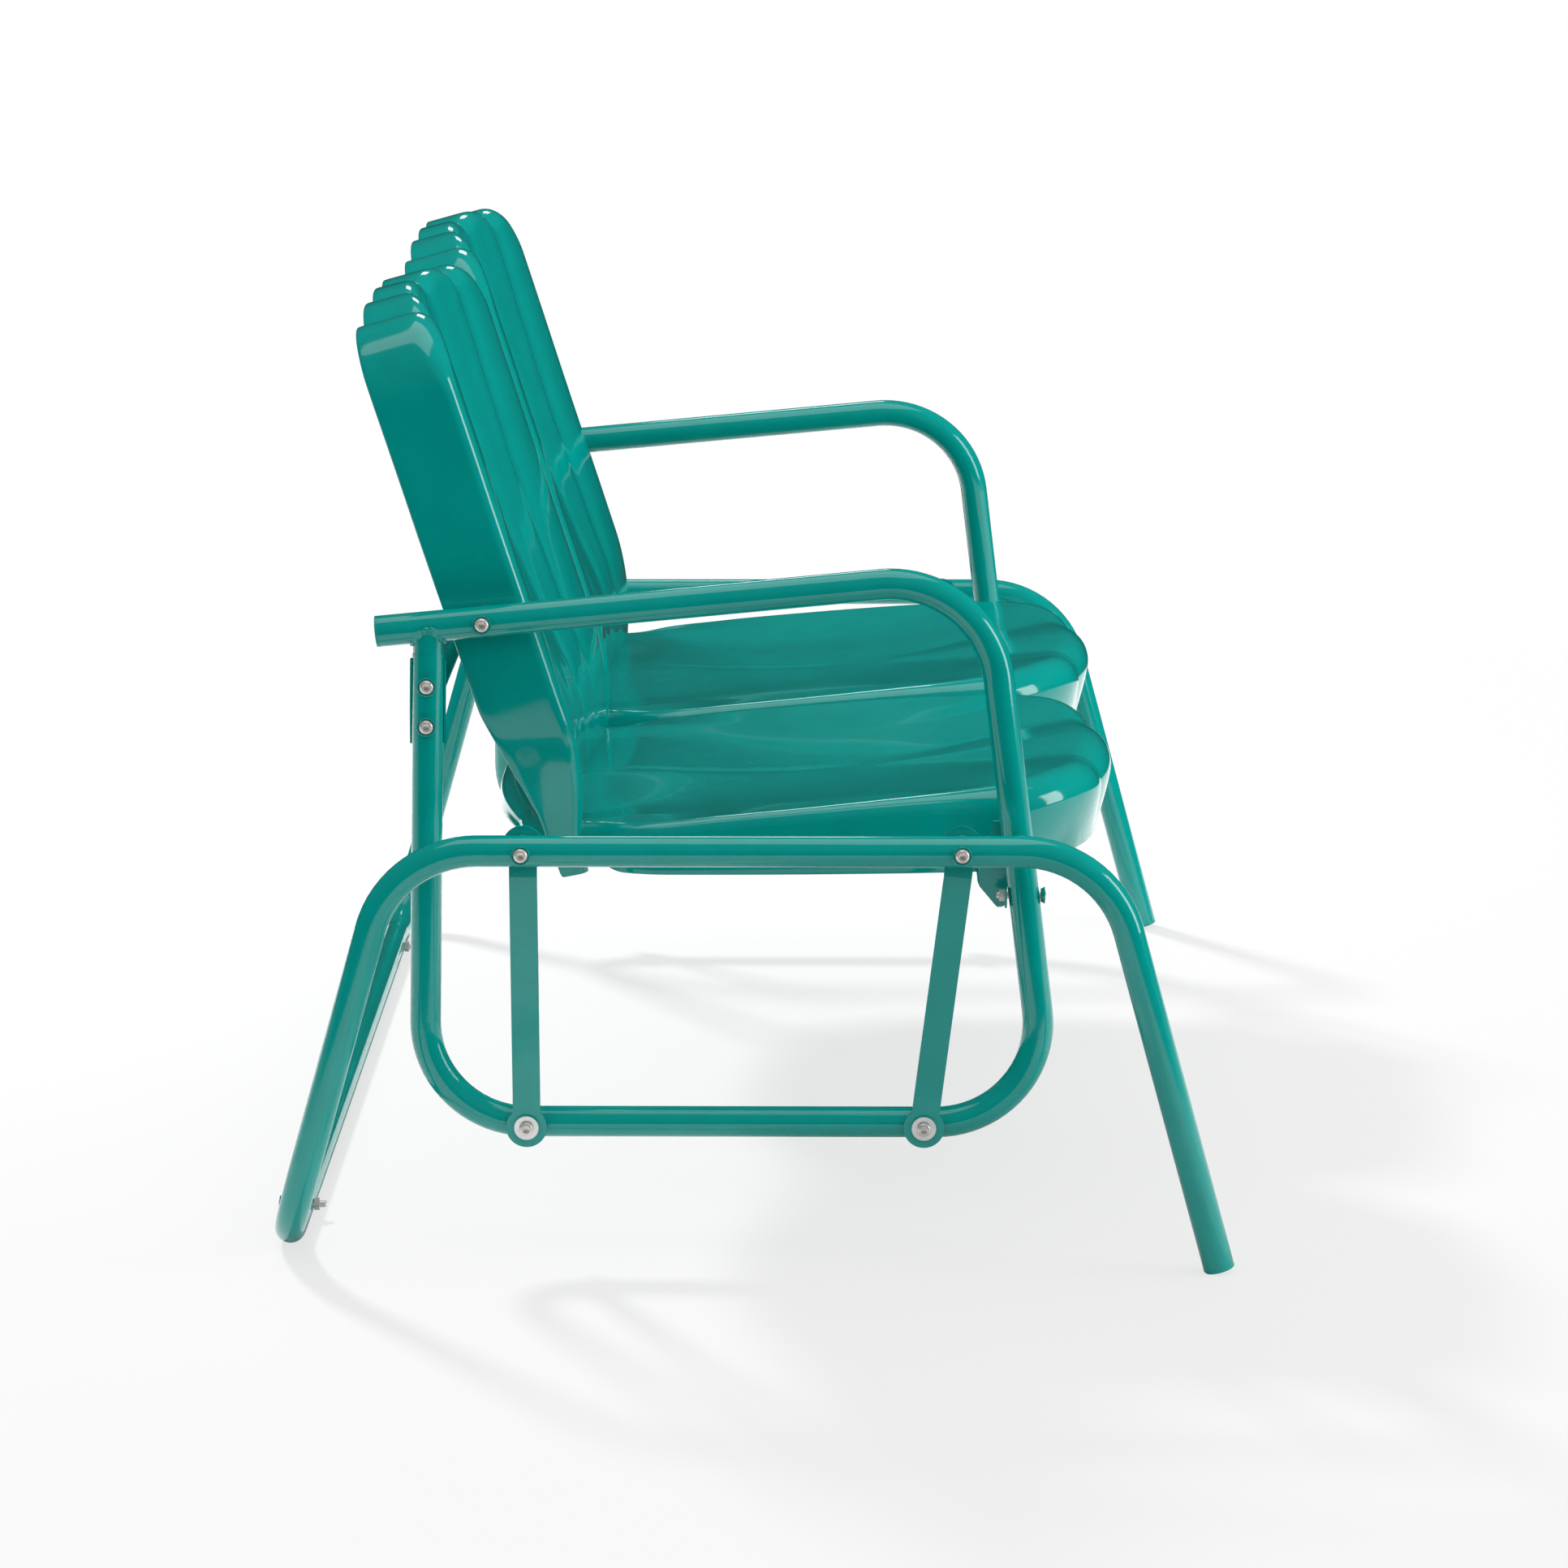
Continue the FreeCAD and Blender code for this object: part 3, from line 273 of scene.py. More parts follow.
def teal_coat():
    """Gloss teal powder coat: slight colour drift, fine peel, a little dust on top faces."""
    material, tree, shader = new_material("teal_powder_coat")
    wear = placed_group(tree, surface_wear, Dust=0.10, Sheen_Scale=35.0)
    teal_drift(tree, shader, wear)
    dulled = ranged(tree, wear.outputs["Dust"], 0.0, 0.1, COAT_ROUGHNESS, COAT_ROUGHNESS + DUST_ROUGHNESS)
    tree.links.new(dulled, shader.inputs["Roughness"])
    ripple = placed_group(tree, coat_ripple, Peel_Scale=380.0, Peel_Height=0.2, Sag_Scale=9.0, Sag_Height=0.3)
    bumped(tree, shader, ripple.outputs["Height"], strength=0.05, distance=0.002)
    shader.inputs["IOR"].default_value = 1.5
    shader.inputs["Coat Roughness"].default_value = 0.02
    shader.inputs["Coat Weight"].default_value = 0.25
    return material


def moulded_cap():
    """Teal plastic end cap, a touch less glossy than the paint."""
    material, tree, shader = new_material("teal_cap_plastic")
    wear = placed_group(tree, surface_wear, Sheen_Scale=90.0)
    teal_drift(tree, shader, wear)
    tree.links.new(ranged(tree, wear.outputs["Sheen"], 0.2, 0.8, 0.22, 0.34), shader.inputs["Roughness"])
    return material


def brushed_metal(name, colour, roughness, lines, metallic):
    """Turned or rolled steel with fine lines and uneven sheen."""
    material, tree, shader = new_material(name)
    wear = placed_group(tree, surface_wear, Sheen_Scale=80.0)
    shade = tuple(channel * METAL_SHADE for channel in colour)
    sheen = ranged(tree, wear.outputs["Sheen"], 0.3, 0.7, 0.0, 1.0)
    tree.links.new(mixed_colour(tree, sheen, shade, colour), shader.inputs["Base Color"])
    tree.links.new(ranged(tree, wear.outputs["Sheen"], 0.2, 0.8, roughness - 0.06, roughness + 0.08),
                   shader.inputs["Roughness"])
    shader.inputs["Metallic"].default_value = metallic
    scratches = noise_node(tree, object_place(tree), lines, detail=6.0, roughness=0.7)
    bumped(tree, shader, scratches, strength=0.12, distance=0.0004)
    return material


teal = teal_coat()
cap_plastic = moulded_cap()
stainless = brushed_metal("stainless_steel", colour=(0.80, 0.77, 0.73), roughness=0.26, lines=900.0,
                          metallic=0.55)
bearing_steel = brushed_metal("bearing_steel", colour=(0.84, 0.84, 0.83), roughness=0.2, lines=1400.0,
                              metallic=0.6)
SLOT_MATERIALS = {"teal_powder_coat": teal, "cup_washer": teal, "end_cap": cap_plastic,
                  "stainless": stainless, "bearing_steel": bearing_steel}


def paint(piece, material):
    piece.data.materials.clear()
    piece.data.materials.append(material)


def belongs(piece, body, slot, *replaced):
    """Dress a new piece: its finish, the body it moves with and the CAD nodes it stands for."""
    paint(piece, SLOT_MATERIALS[slot])
    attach(piece, body)
    if replaced:
        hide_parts(*replaced)


for subpart in frame["record"]["subparts"]:
    paint(nodes[subpart["node"]], SLOT_MATERIALS[subpart["material_slot"]])
    smooth(nodes[subpart["node"]], angle=30)


# Curves and outlines


def arc_points(start, middle, end, count):
    """Points on the circle through three plan points, from start to end, both included."""
    (ax, ay), (bx, by), (cx, cy) = start, middle, end
    d = 2 * (ax * (by - cy) + bx * (cy - ay) + cx * (ay - by))
    ux = ((ax**2 + ay**2) * (by - cy) + (bx**2 + by**2) * (cy - ay) + (cx**2 + cy**2) * (ay - by)) / d
    uy = ((ax**2 + ay**2) * (cx - bx) + (bx**2 + by**2) * (ax - cx) + (cx**2 + cy**2) * (bx - ax)) / d
    radius = math.hypot(ax - ux, ay - uy)
    first = math.atan2(ay - uy, ax - ux)
    turn = [math.atan2(y - uy, x - ux) - first for x, y in (middle, end)]
    turn = [angle % (2 * math.pi) for angle in turn]
    sweep = turn[1] if turn[0] < turn[1] else turn[1] - 2 * math.pi
    angles = [first + sweep * i / count for i in range(count + 1)]
    return [(ux + radius * math.cos(a), uy + radius * math.sin(a)) for a in angles]


def shares(points):
    """Share of the whole length reached at each point of a polyline."""
    length = np.concatenate([[0], np.cumsum(np.hypot(*np.diff(points, axis=0).T))])
    return length / length[-1]


def resample(points, positions):
    """Points at the given shares of a polyline's length."""
    reached = shares(points)
    return np.stack([np.interp(positions, reached, points[:, k]) for k in (0, 1)], axis=1)


def plan_normals(points, closed):
    """Normals of a plan outline, to the left of its run."""
    if closed:
        ahead, behind = np.roll(points, -1, axis=0), np.roll(points, 1, axis=0)
    else:
        ahead = np.vstack([points[1:], points[-1:]])
        behind = np.vstack([points[:1], points[:-1]])
    tangent = ahead - behind
    normal = np.stack([-tangent[:, 1], tangent[:, 0]], axis=1)
    return normal / np.hypot(*normal.T)[:, None]


def smooth_line(points, heights):
    """A smooth curve y(z) through given (y, z) points, each stretch a cubic with the slopes of its ends."""
    z = np.array([p[1] for p in points], float)
    y = np.array([p[0] for p in points], float)
    slope = np.gradient(y, z)
    i = np.clip(np.searchsorted(z, heights) - 1, 0, len(z) - 2)
    span = z[i + 1] - z[i]
    t = (heights - z[i]) / span
    return ((2 * t**3 - 3 * t**2 + 1) * y[i] + (t**3 - 2 * t**2 + t) * span * slope[i]
            + (-2 * t**3 + 3 * t**2) * y[i + 1] + (t**3 - t**2) * span * slope[i + 1])


def table(pairs, at):
    """Value at a place from (place, value) pairs, on straight lines between them."""
    return np.interp(at, [p[0] for p in pairs], [p[1] for p in pairs])


def table_smooth(pairs, at):
    """The same on a smooth curve."""
    return smooth_line([(value, key) for key, value in pairs], np.clip(at, pairs[0][0], pairs[-1][0]))


def lobe_height(share, breaks, crown, groove, flatness):
    """Height of rounded lobes across a shell: share is 0 in its middle and 1 at its sides.

    breaks are the shares of the grooves on one side, the last one the shell's own edge. groove rounds the
    grooves, in lobe widths, and flatness sets how flat the lobes are between them.
    """
    reach = np.abs(share)
    near = (1 - reach / breaks[0]) / 2
    for inner, outer in zip(breaks, breaks[1:]):
        across = (reach - inner) / (outer - inner)
        near = np.where(reach > inner, np.minimum(across, 1 - across), near)
    near = np.clip(near, 0, 0.5)
    softened = np.sqrt(near**2 + groove**2) - groove
    return crown * (1 - (1 - 2 * softened) ** flatness)


# Pressed shells: a face with a scalloped outline, a rolled edge and a skirt with a hem

ROLL_STEPS = 9
SKIRT_STEPS = 5
HEM_STEPS = 5
HEM_RADIUS = 1.8
HEM_TURN = math.radians(207)
SHELL_SHEET = 1.5
SEAT_PITCH = 486.0


def edge_rings(outline, normals, rolls, place, skirt):
    """Rings of points from the face's border over the rolled edge and down the skirt to the lip.

    normals point out of the plan outline, and rolls holds the rolled edge's radius at each of its points.
    place(plan, depth) gives real points, and skirt(share) the rings from the roll's end at 0 to the lip at 1.
    """
    rings = []
    for step in range(ROLL_STEPS + 1):
        turn = math.pi / 2 * step / ROLL_STEPS
        inner = outline - normals * (rolls * (1 - math.sin(turn)))[:, None]
        rings.append(place(inner, rolls * (1 - math.cos(turn))))
    for step in range(1, SKIRT_STEPS + 1):
        rings.append(skirt(step / SKIRT_STEPS))
    return rings


def hem_rings(before, lip, closed, inside):
    """Rings of the hem, a small curl from the lip inwards and up.

    before is the ring above the lip. inside, 1 or -1, is the side of the lip's run on which the inside lies.
    """
    down = lip - before
    down /= np.linalg.norm(down, axis=1)[:, None]
    curl = np.cross(np.roll(lip, -1, axis=0) - np.roll(lip, 1, axis=0), down) * inside
    curl /= np.linalg.norm(curl, axis=1)[:, None]
    if not closed:
        curl[0], curl[-1] = curl[1], curl[-2]
    rings = []
    for step in range(1, HEM_STEPS + 1):
        turn = HEM_TURN * step / HEM_STEPS
        rings.append(lip + HEM_RADIUS * (curl * (1 - math.cos(turn)) + down * math.sin(turn)))
    return rings


def grid_piece(name, columns, rows):
    """A grid primitive, with the column and row of each of its vertices."""
    deselect()
    bpy.ops.mesh.primitive_grid_add(x_subdivisions=columns - 1, y_subdivisions=rows - 1, size=2)
    piece = name_piece(name)
    flat = np.array([vertex.co for vertex in piece.data.vertices])
    across = np.rint((flat[:, 0] + 1) / 2 * (columns - 1)).astype(int)
    along = np.rint((flat[:, 1] + 1) / 2 * (rows - 1)).astype(int)
    return piece, across, along


def set_points(piece, points):
    piece.data.vertices.foreach_set("co", (points * MM).ravel())


def border_cells(columns, rows, closed):
    """Grid cells round the face, from low left up, over the top, down the right side and, if closed, back."""
    up = [(0, j) for j in range(rows)]
    over = [(i, rows - 1) for i in range(1, columns)]
    down = [(columns - 1, j) for j in range(rows - 2, -1, -1)]
    back = [(i, 0) for i in range(columns - 2, 0, -1)] if closed else []
    return up + over + down + back


def select_run(piece, run):
    """Select a run of edge vertices and nothing else."""
    activate(piece)
    bpy.ops.object.mode_set(mode="EDIT")
    bpy.ops.mesh.select_mode(type="VERT")
    bpy.ops.mesh.select_all(action="DESELECT")
    bpy.ops.object.mode_set(mode="OBJECT")
    for index in run:
        piece.data.vertices[index].select = True


def extrude_run(piece, run, points):
    """Extrude the selected run once and move its new vertices to points. Gives the new run, in the old order.

    The new vertices start where the old ones are, which tells them apart, and they stay selected.
    """
    bpy.ops.object.mode_set(mode="EDIT")
    bpy.ops.mesh.extrude_edges_indiv()
    bpy.ops.object.mode_set(mode="OBJECT")
    vertices = piece.data.vertices
    order = {tuple(vertices[index].co): i for i, index in enumerate(run)}
    added = range(len(vertices) - len(run), len(vertices))
    fresh = sorted(added, key=lambda index: order[tuple(vertices[index].co)])
    for index, point in zip(fresh, points):
        vertices[index].co = Vector(point) * MM
    return fresh


def shell_mesh(name, face_grid, rings, place, closed):
    """Build a pressed shell: a grid laid on the face's plan points, then its border extruded ring by ring."""
    columns, rows = face_grid.shape[:2]
    piece, across, along = grid_piece(name, columns, rows)
    plan = face_grid[across, along]
    set_points(piece, place(plan, 0 * plan[:, 0]))
    vertex_at = {cell: i for i, cell in enumerate(zip(across, along))}
    run = [vertex_at[cell] for cell in border_cells(columns, rows, closed)]
    select_run(piece, run)
    for points in rings:
        run = extrude_run(piece, run, points)
    outward(piece)
    return piece


def finish_shell(piece):
    """Round the shell off and give it the sheet's thickness inwards."""
    modify(piece, "SUBSURF", levels=1, render_levels=1)
    outward(piece)
    modify(piece, "SOLIDIFY", thickness=SHELL_SHEET * MM, offset=-1.0, use_even_offset=True)
    smooth(piece, angle=50)


def both_units(piece, node_stem):
    """Copy a shell made in the middle to its left and right place."""
    for label, side in SIDES:
        unit = copied(piece, f"{piece.name}_{label}", (side * SEAT_PITCH / 2, 0, 0))
        belongs(unit, "seat", "teal_powder_coat", f"{node_stem}_{label}")
    bpy.data.objects.remove(piece)


# Back shell. BACK_LINE is the front line of its side edge as (y, z), from the tongue up to the top.
# The tables give the depth of the skirt, the half width and the depth of the hollow by z

BACK_HALF = 235.0
BACK_LOW = 330.0
BACK_FACE_LOW = 366.0
BACK_TOP = 847.0
BACK_CREST = 858.5
BACK_CORNER = 62.0
BACK_LINE = ((147.5, 330), (150, 345), (153, 370), (152, 393), (154, 430), (161, 468), (173, 506),
             (185.5, 545), (197, 580), (221, 654), (244, 727), (267, 799), (282.4, 847), (288, 864.4))
BACK_DEPTHS = ((330, 24), (345, 26.5), (370, 31), (393, 43), (430, 57), (468, 66), (506, 72), (870, 72))
BACK_WIDTHS = ((330, 217), (370, 220), (393, 222), (430, 228), (468, 232), (506, BACK_HALF), (870, BACK_HALF))
BACK_HOLLOW = ((330, 10), (430, 12), (520, 22), (620, 30), (740, 34), (870, 31))

# Lobes: their height, how it grows with z, the grooves' shares of the half width and how they draw together
BACK_CROWN = 3.4
BACK_CROWN_GROWTH = ((400, 0.45), (650, 1.0))
BACK_GROOVE = 0.03
BACK_FLATNESS = 4.0
LOBE_EDGES = (0.2, 0.6)
LOBE_NARROWING = ((370, 0.78), (790, 1.0))

# Rolled edge: its radius at the sides, that at the top by distance from the middle, and where one becomes the
# other by z. The skirt leans out by its draft, and takes the face's relief off its depth, so its lip is even
SIDE_ROLL = 10.0
TOP_ROLLS = ((130, 16), (190, 26))
ROLL_CHANGE = (BACK_TOP - 75, BACK_TOP - 15)
BACK_DRAFT = 1.5
LIP_LEVEL = 1.12


def fan_columns(column, edge, edge_at_top, z):
    """Share of a face column at height z: inside the outer grooves it follows them, beyond it spreads out."""
    outer = LOBE_EDGES[1]
    narrowing = table(LOBE_NARROWING, z)
    drawn = outer * narrowing
    beyond = drawn + (np.abs(column) - outer) / (edge_at_top - outer) * (edge - drawn)
    return np.where(np.abs(column) <= outer, column * narrowing, np.sign(column) * beyond)


def back_relief(x, z):
    """How far the face lies behind the side's front line: the hollow less the lobes."""
    share = x / table(BACK_WIDTHS, z)
    breaks = [edge * table(LOBE_NARROWING, z) for edge in LOBE_EDGES] + [1.0]
    lobes = lobe_height(share, breaks, BACK_CROWN * table(BACK_CROWN_GROWTH, z), BACK_GROOVE, BACK_FLATNESS)
    hollow = table_smooth(BACK_HOLLOW, z) * (1 + np.cos(math.pi * np.clip(share, -1, 1))) / 2
    return hollow - lobes


def back_place(plan, depth):
    """Plan of the back is (x, z on the side's front line). Depth runs back, square to the line."""
    x, z = plan[:, 0], plan[:, 1]
    y = smooth_line(BACK_LINE, z)
    slope = (smooth_line(BACK_LINE, z + 1.0) - smooth_line(BACK_LINE, z - 1.0)) / 2
    length = np.sqrt(1 + slope**2)
    offset = back_relief(x, z) + depth
    return np.stack([x, y + offset / length, z - offset * slope / length], axis=1)


def back_outline():
    """Half of the back's outline: a run up from the tongue, and one over the corner to the middle."""
    side_top = BACK_TOP - BACK_CORNER
    corner_cut = BACK_CORNER * (1 - math.sqrt(0.5))
    shoulder = (BACK_HALF - BACK_CORNER, BACK_TOP)
    side = [(table(BACK_WIDTHS, z), z) for z in np.linspace(BACK_LOW, side_top, 58)]
    corner = arc_points((BACK_HALF, side_top), (BACK_HALF - corner_cut, BACK_TOP - corner_cut), shoulder, 16)
    inner_groove, outer_groove = (edge * BACK_HALF for edge in LOBE_EDGES)
    outer_end = (outer_groove + 2.5, BACK_TOP - 8)
    lobe_start = (outer_groove - 2, BACK_TOP - 7)
    lobe_end = (inner_groove + 2.5, BACK_CREST - 9)
    middle_start = (inner_groove - 2.5, BACK_CREST - 9)
    outer = arc_points(shoulder, (outer_groove + 17, BACK_TOP - 2.2), outer_end, 6)
    valley = arc_points(outer_end, (outer_groove, BACK_TOP - 8.6), lobe_start, 4)
    lobe = arc_points(lobe_start, (96, BACK_CREST - 3), lobe_end, 16)
    dip = arc_points(lobe_end, (inner_groove, BACK_CREST - 10), middle_start, 4)
    middle = arc_points(middle_start, (23, BACK_CREST - 2), (0, BACK_CREST), 8)
    return side, corner + outer[1:] + valley[1:] + lobe[1:] + dip[1:] + middle[1:]


def back_face(left_column, top_row):
    """Plan points of the face: columns fan out along the lobes, and rows rise with the top's scallops."""
    columns = top_row[:, 0] / table(BACK_WIDTHS, BACK_TOP)
    climb = (left_column[:, 1] - left_column[0, 1]) / (left_column[-1, 1] - left_column[0, 1])
    heights = left_column[:, 1] + (top_row[:, 1] - top_row[0, 1])[:, None] * climb
    edge = -left_column[:, 0] / table(BACK_WIDTHS, left_column[:, 1])
    across = fan_columns(columns[:, None], edge, -columns[0], heights) * table(BACK_WIDTHS, heights)
    grid = np.stack([across, heights], axis=2)
    grid[0] = left_column
    grid[-1] = left_column * (-1, 1)
    grid[:, -1] = top_row
    return grid


def tongue_strip(name, rings):
    """The strip of rolled edge and skirt below the face, at one side."""
    piece, along, deep = grid_piece(name, len(rings[0]), len(rings))
    set_points(piece, np.array(rings)[deep, along])
    return piece


def back_shell(name):
    """Back shell in the middle of the bench: face, rolled edge, skirt and hem, and a tongue at each side."""
    side, top = back_outline()
    half = np.array(side[:-1] + top)
    corner_at = len(side) - 1
    outline = np.vstack([half[:-1] * (-1, 1), half[::-1]])
    normals = plan_normals(outline, closed=False)
    normals[0], normals[-1] = (-1, 0), (1, 0)
    rise = np.clip((outline[:, 1] - ROLL_CHANGE[0]) / (ROLL_CHANGE[1] - ROLL_CHANGE[0]), 0, 1)
    top_roll = table(TOP_ROLLS, np.abs(outline[:, 0]))
    rolls = SIDE_ROLL + (top_roll - SIDE_ROLL) * rise**2 * (3 - 2 * rise)
    inner = outline - normals * rolls[:, None]
    face_start = int(np.argmin(np.abs(inner[:corner_at, 1] - BACK_FACE_LOW)))
    grid = back_face(inner[face_start:corner_at + 1], inner[corner_at:len(inner) - corner_at])
    depth = table(BACK_DEPTHS, outline[:, 1]) - LIP_LEVEL * back_relief(outline[:, 0], outline[:, 1])

    def skirt(share):
        return back_place(outline + normals * BACK_DRAFT * share, rolls + (depth - rolls) * share)

    rings = edge_rings(outline, normals, rolls, back_place, skirt)

    def stretch(start, end):
        return [ring[start:end] for ring in rings]

    last = len(outline) - face_start
    around = stretch(face_start, last)
    hem = hem_rings(around[-2], around[-1], closed=False, inside=-1)
    shell = shell_mesh(name, grid, around[1:] + hem, back_place, closed=False)
    tongues = [tongue_strip(name + "_tongue", strip)
               for strip in (stretch(0, face_start + 1), stretch(last - 1, len(outline)))]
    outward(joined([shell] + tongues), merge=0.02)
    return shell


back = back_shell("pressed_back")
finish_shell(back)
both_units(back, "back_shell")


# Seat pan. The tables run by y from the front: height of the crest, depth of the hollow, and for the lobes
# of the front and the rear their height and the share of the half width where their groove lies

PAN_CREST = ((-345, 419), (-300, 419), (-260, 416), (-215, 412), (-134, 404.5), (-53, 396), (28, 387.5),
             (69, 382.5), (109, 378), (140, 373), (170, 372), (200, 376), (225, 382), (250, 386))
PAN_HOLLOW = ((-345, 4), (-300, 7), (-228, 13), (-132, 18), (-34, 17), (40, 10), (87, 3), (146, -4),
              (200, -4), (250, -2))
PAN_FRONT_CROWN = ((-345, 4.6), (-300, 4.4), (-228, 3.0), (-160, 1.2), (-100, 0), (250, 0))
PAN_FRONT_EDGE = ((-345, 0.36), (-300, 0.33), (-228, 0.22), (-160, 0.1), (-100, 0.06), (250, 0.06))
PAN_REAR_CROWN = ((-345, 0), (-20, 0), (40, 0.8), (90, 2.2), (140, 3.6), (200, 3.4), (250, 1.5))
PAN_REAR_EDGE = ((-345, 0.5), (-20, 0.5), (140, 0.62), (250, 0.7))
PAN_FRONT_GROOVE = 0.10
PAN_REAR_GROOVE = 0.3
PAN_FLATNESS = 2.2

# Half width, height of the lip, how far the skirt leans out and the rolled edge, by y
PAN_HALF = ((-345, 236), (-240, 236), (70, 244), (250, 236))
PAN_LOW = ((-345, 335), (120, 335), (140, 344), (175, 350), (205, 354), (250, 360))
PAN_DRAFT = ((-345, -6), (-300, -4), (-220, 0), (-150, 1.5), (250, 1.5))
PAN_ROLLS = ((-345, 30), (-250, 27), (-170, 18), (-60, 14), (120, 12), (150, 13), (190, 19), (250, 20))

# The front lip runs on without the valleys: points averaged to each side, and where by y that starts
LIP_SPREAD = 24
LIP_EVENING = ((-300, 1.0), (-240, 0.0))
LIP_PULL = 1.5


def pan_place(plan, depth):
    """Plan of the seat is (x, -y), so that the front is the top of the plan. Depth runs down."""
    x, y = plan[:, 0], -plan[:, 1]
    share = x / table(PAN_HALF, y)
    front_crown = table_smooth(PAN_FRONT_CROWN, y)
    rear_crown = table_smooth(PAN_REAR_CROWN, y)
    front = lobe_height(share, [table_smooth(PAN_FRONT_EDGE, y), 1.0], front_crown, PAN_FRONT_GROOVE,
                        PAN_FLATNESS)
    rear = lobe_height(share, [table_smooth(PAN_REAR_EDGE, y), 1.0], rear_crown, PAN_REAR_GROOVE,
                       PAN_FLATNESS)
    top = table_smooth(PAN_CREST, y) - table_smooth(PAN_HOLLOW, y) * np.clip(1 - share**2, 0, 1)
    base = (front_crown + rear_crown) * 0.5
    return np.stack([x, y, top - base + front + rear - depth], axis=1)


def pan_outline():
    """Half of the seat's outline in plan (x, -y), in three runs that end at its round corners.

    The rear run starts in the middle, the side run has the drawn-in waist, the front run ends in the middle.
    """
    rear = arc_points((0, -240), (80, -234), (150, -213), 18)
    rear_corner = arc_points((150, -213), (196, -192), (212, -160), 16)
    waist = arc_points((212, -160), (212.6, -148), (216, -136), 5)
    step = arc_points((216, -136), (229, -112), (236, -76), 9)
    side = arc_points((236, -76), (233, 84), (222, 236), 44)
    corner = arc_points((222, 236), (176, 300), (90, 327.5), 36)
    valley = arc_points((90, 327.5), (85, 327.8), (80, 328.8), 4)
    middle = arc_points((80, 328.8), (42, 338), (0, 341), 14)
    rear_half = len(rear_corner) // 2
    corner_half = len(corner) // 2
    low = rear + rear_corner[1:rear_half + 1]
    tall = rear_corner[rear_half:] + waist[1:] + step[1:] + side[1:] + corner[1:corner_half + 1]
    high = corner[corner_half:] + valley[1:] + middle[1:]
    return np.array(low), np.array(tall), np.array(high)


def evened(outline):
    """The closed outline without its front valleys, each point averaged with its neighbours there."""
    kernel = np.ones(2 * LIP_SPREAD + 1) / (2 * LIP_SPREAD + 1)
    wrapped = np.vstack([outline[-LIP_SPREAD:], outline, outline[:LIP_SPREAD]])
    mean = np.stack([np.convolve(wrapped[:, k], kernel, "valid") for k in (0, 1)], axis=1)
    return outline + (mean - outline) * table(LIP_EVENING, -outline[:, 1])[:, None]


def blended_grid(low_row, top_row, left_column, right_column):
    """Plan points between four borders, each row and column blended from the borders beside it."""
    u = np.clip((1 - top_row[:, 0] / top_row[0, 0]) / 2, 0, 1)[:, None, None]
    v = ((left_column[:, 1] - left_column[0, 1]) / (left_column[-1, 1] - left_column[0, 1]))[None, :, None]
    rows = (1 - v) * low_row[:, None] + v * top_row[:, None]
    columns = (1 - u) * left_column[None] + u * right_column[None]
    low = (1 - u) * (1 - v) * low_row[0] + u * (1 - v) * low_row[-1]
    high = (1 - u) * v * top_row[0] + u * v * top_row[-1]
    return rows + columns - low - high


def pan_shell(name):
    """Seat pan in the middle of the bench: face, rolled edge, skirt and hem."""
    low, tall, high = pan_outline()
    low = resample(low, 1 - shares(high)[::-1])
    half = np.vstack([low, tall[1:], high[1:]])
    outline = np.vstack([half * (-1, 1), half[::-1][1:-1]])
    outline = np.roll(outline, 1 - len(low), axis=0)
    normals = plan_normals(outline, closed=True)
    front_back = -outline[:, 1]
    rolls = table(PAN_ROLLS, front_back)
    inner = outline - normals * rolls[:, None]
    rows = len(tall)
    columns = 2 * len(high) - 1
    left_column = inner[:rows]
    top_row = inner[rows - 1:rows - 1 + columns]
    right_column = inner[rows + columns - 2:2 * rows + columns - 2][::-1]
    low_row = np.vstack([inner[2 * rows + columns - 3:], inner[:1]])[::-1]
    grid = blended_grid(low_row, top_row, left_column, right_column)
    edge = pan_place(outline, rolls)
    lean = normals * (1, -1) * table(PAN_DRAFT, front_back)[:, None]
    pull = (evened(outline) - outline) * (1, -1)
    drop = table(PAN_LOW, front_back) - edge[:, 2]

    def skirt(share):
        sideways = lean * share + pull * share**LIP_PULL
        return edge + np.column_stack([sideways, drop * share])

    rings = edge_rings(outline, normals, rolls, pan_place, skirt)
    hem = hem_rings(rings[-2], rings[-1], closed=True, inside=1)
    return shell_mesh(name, grid, rings[1:] + hem, pan_place, closed=True)


pan = pan_shell("pressed_seat")
finish_shell(pan)
both_units(pan, "seat_pan")


# Turned fasteners: a profile of (radius, height) spun round its axis. Height 0 is the seat of the piece

LATHE_STEPS = 48
LATHE_MERGE = 0.005
CUP_SEAT = 2.7


def lathed(name, profile):
    """Spin a closed profile into a solid; its ends on the axis close up."""
    deselect()
    bpy.ops.mesh.primitive_circle_add(vertices=len(profile), radius=1)
    piece = name_piece(name)
    for vertex, (radius, height) in zip(piece.data.vertices, profile):
        vertex.co = Vector((radius, 0, height)) * MM
    bpy.ops.object.mode_set(mode="EDIT")
    bpy.ops.mesh.select_all(action="SELECT")
    bpy.ops.mesh.spin(steps=LATHE_STEPS, angle=2 * math.pi, center=(0, 0, 0), axis=(0, 0, 1))
    bpy.ops.mesh.select_all(action="SELECT")
    bpy.ops.mesh.remove_doubles(threshold=LATHE_MERGE * MM)
    bpy.ops.mesh.dissolve_degenerate(threshold=LATHE_MERGE * MM)
    bpy.ops.object.mode_set(mode="OBJECT")
    outward(piece)
    return piece


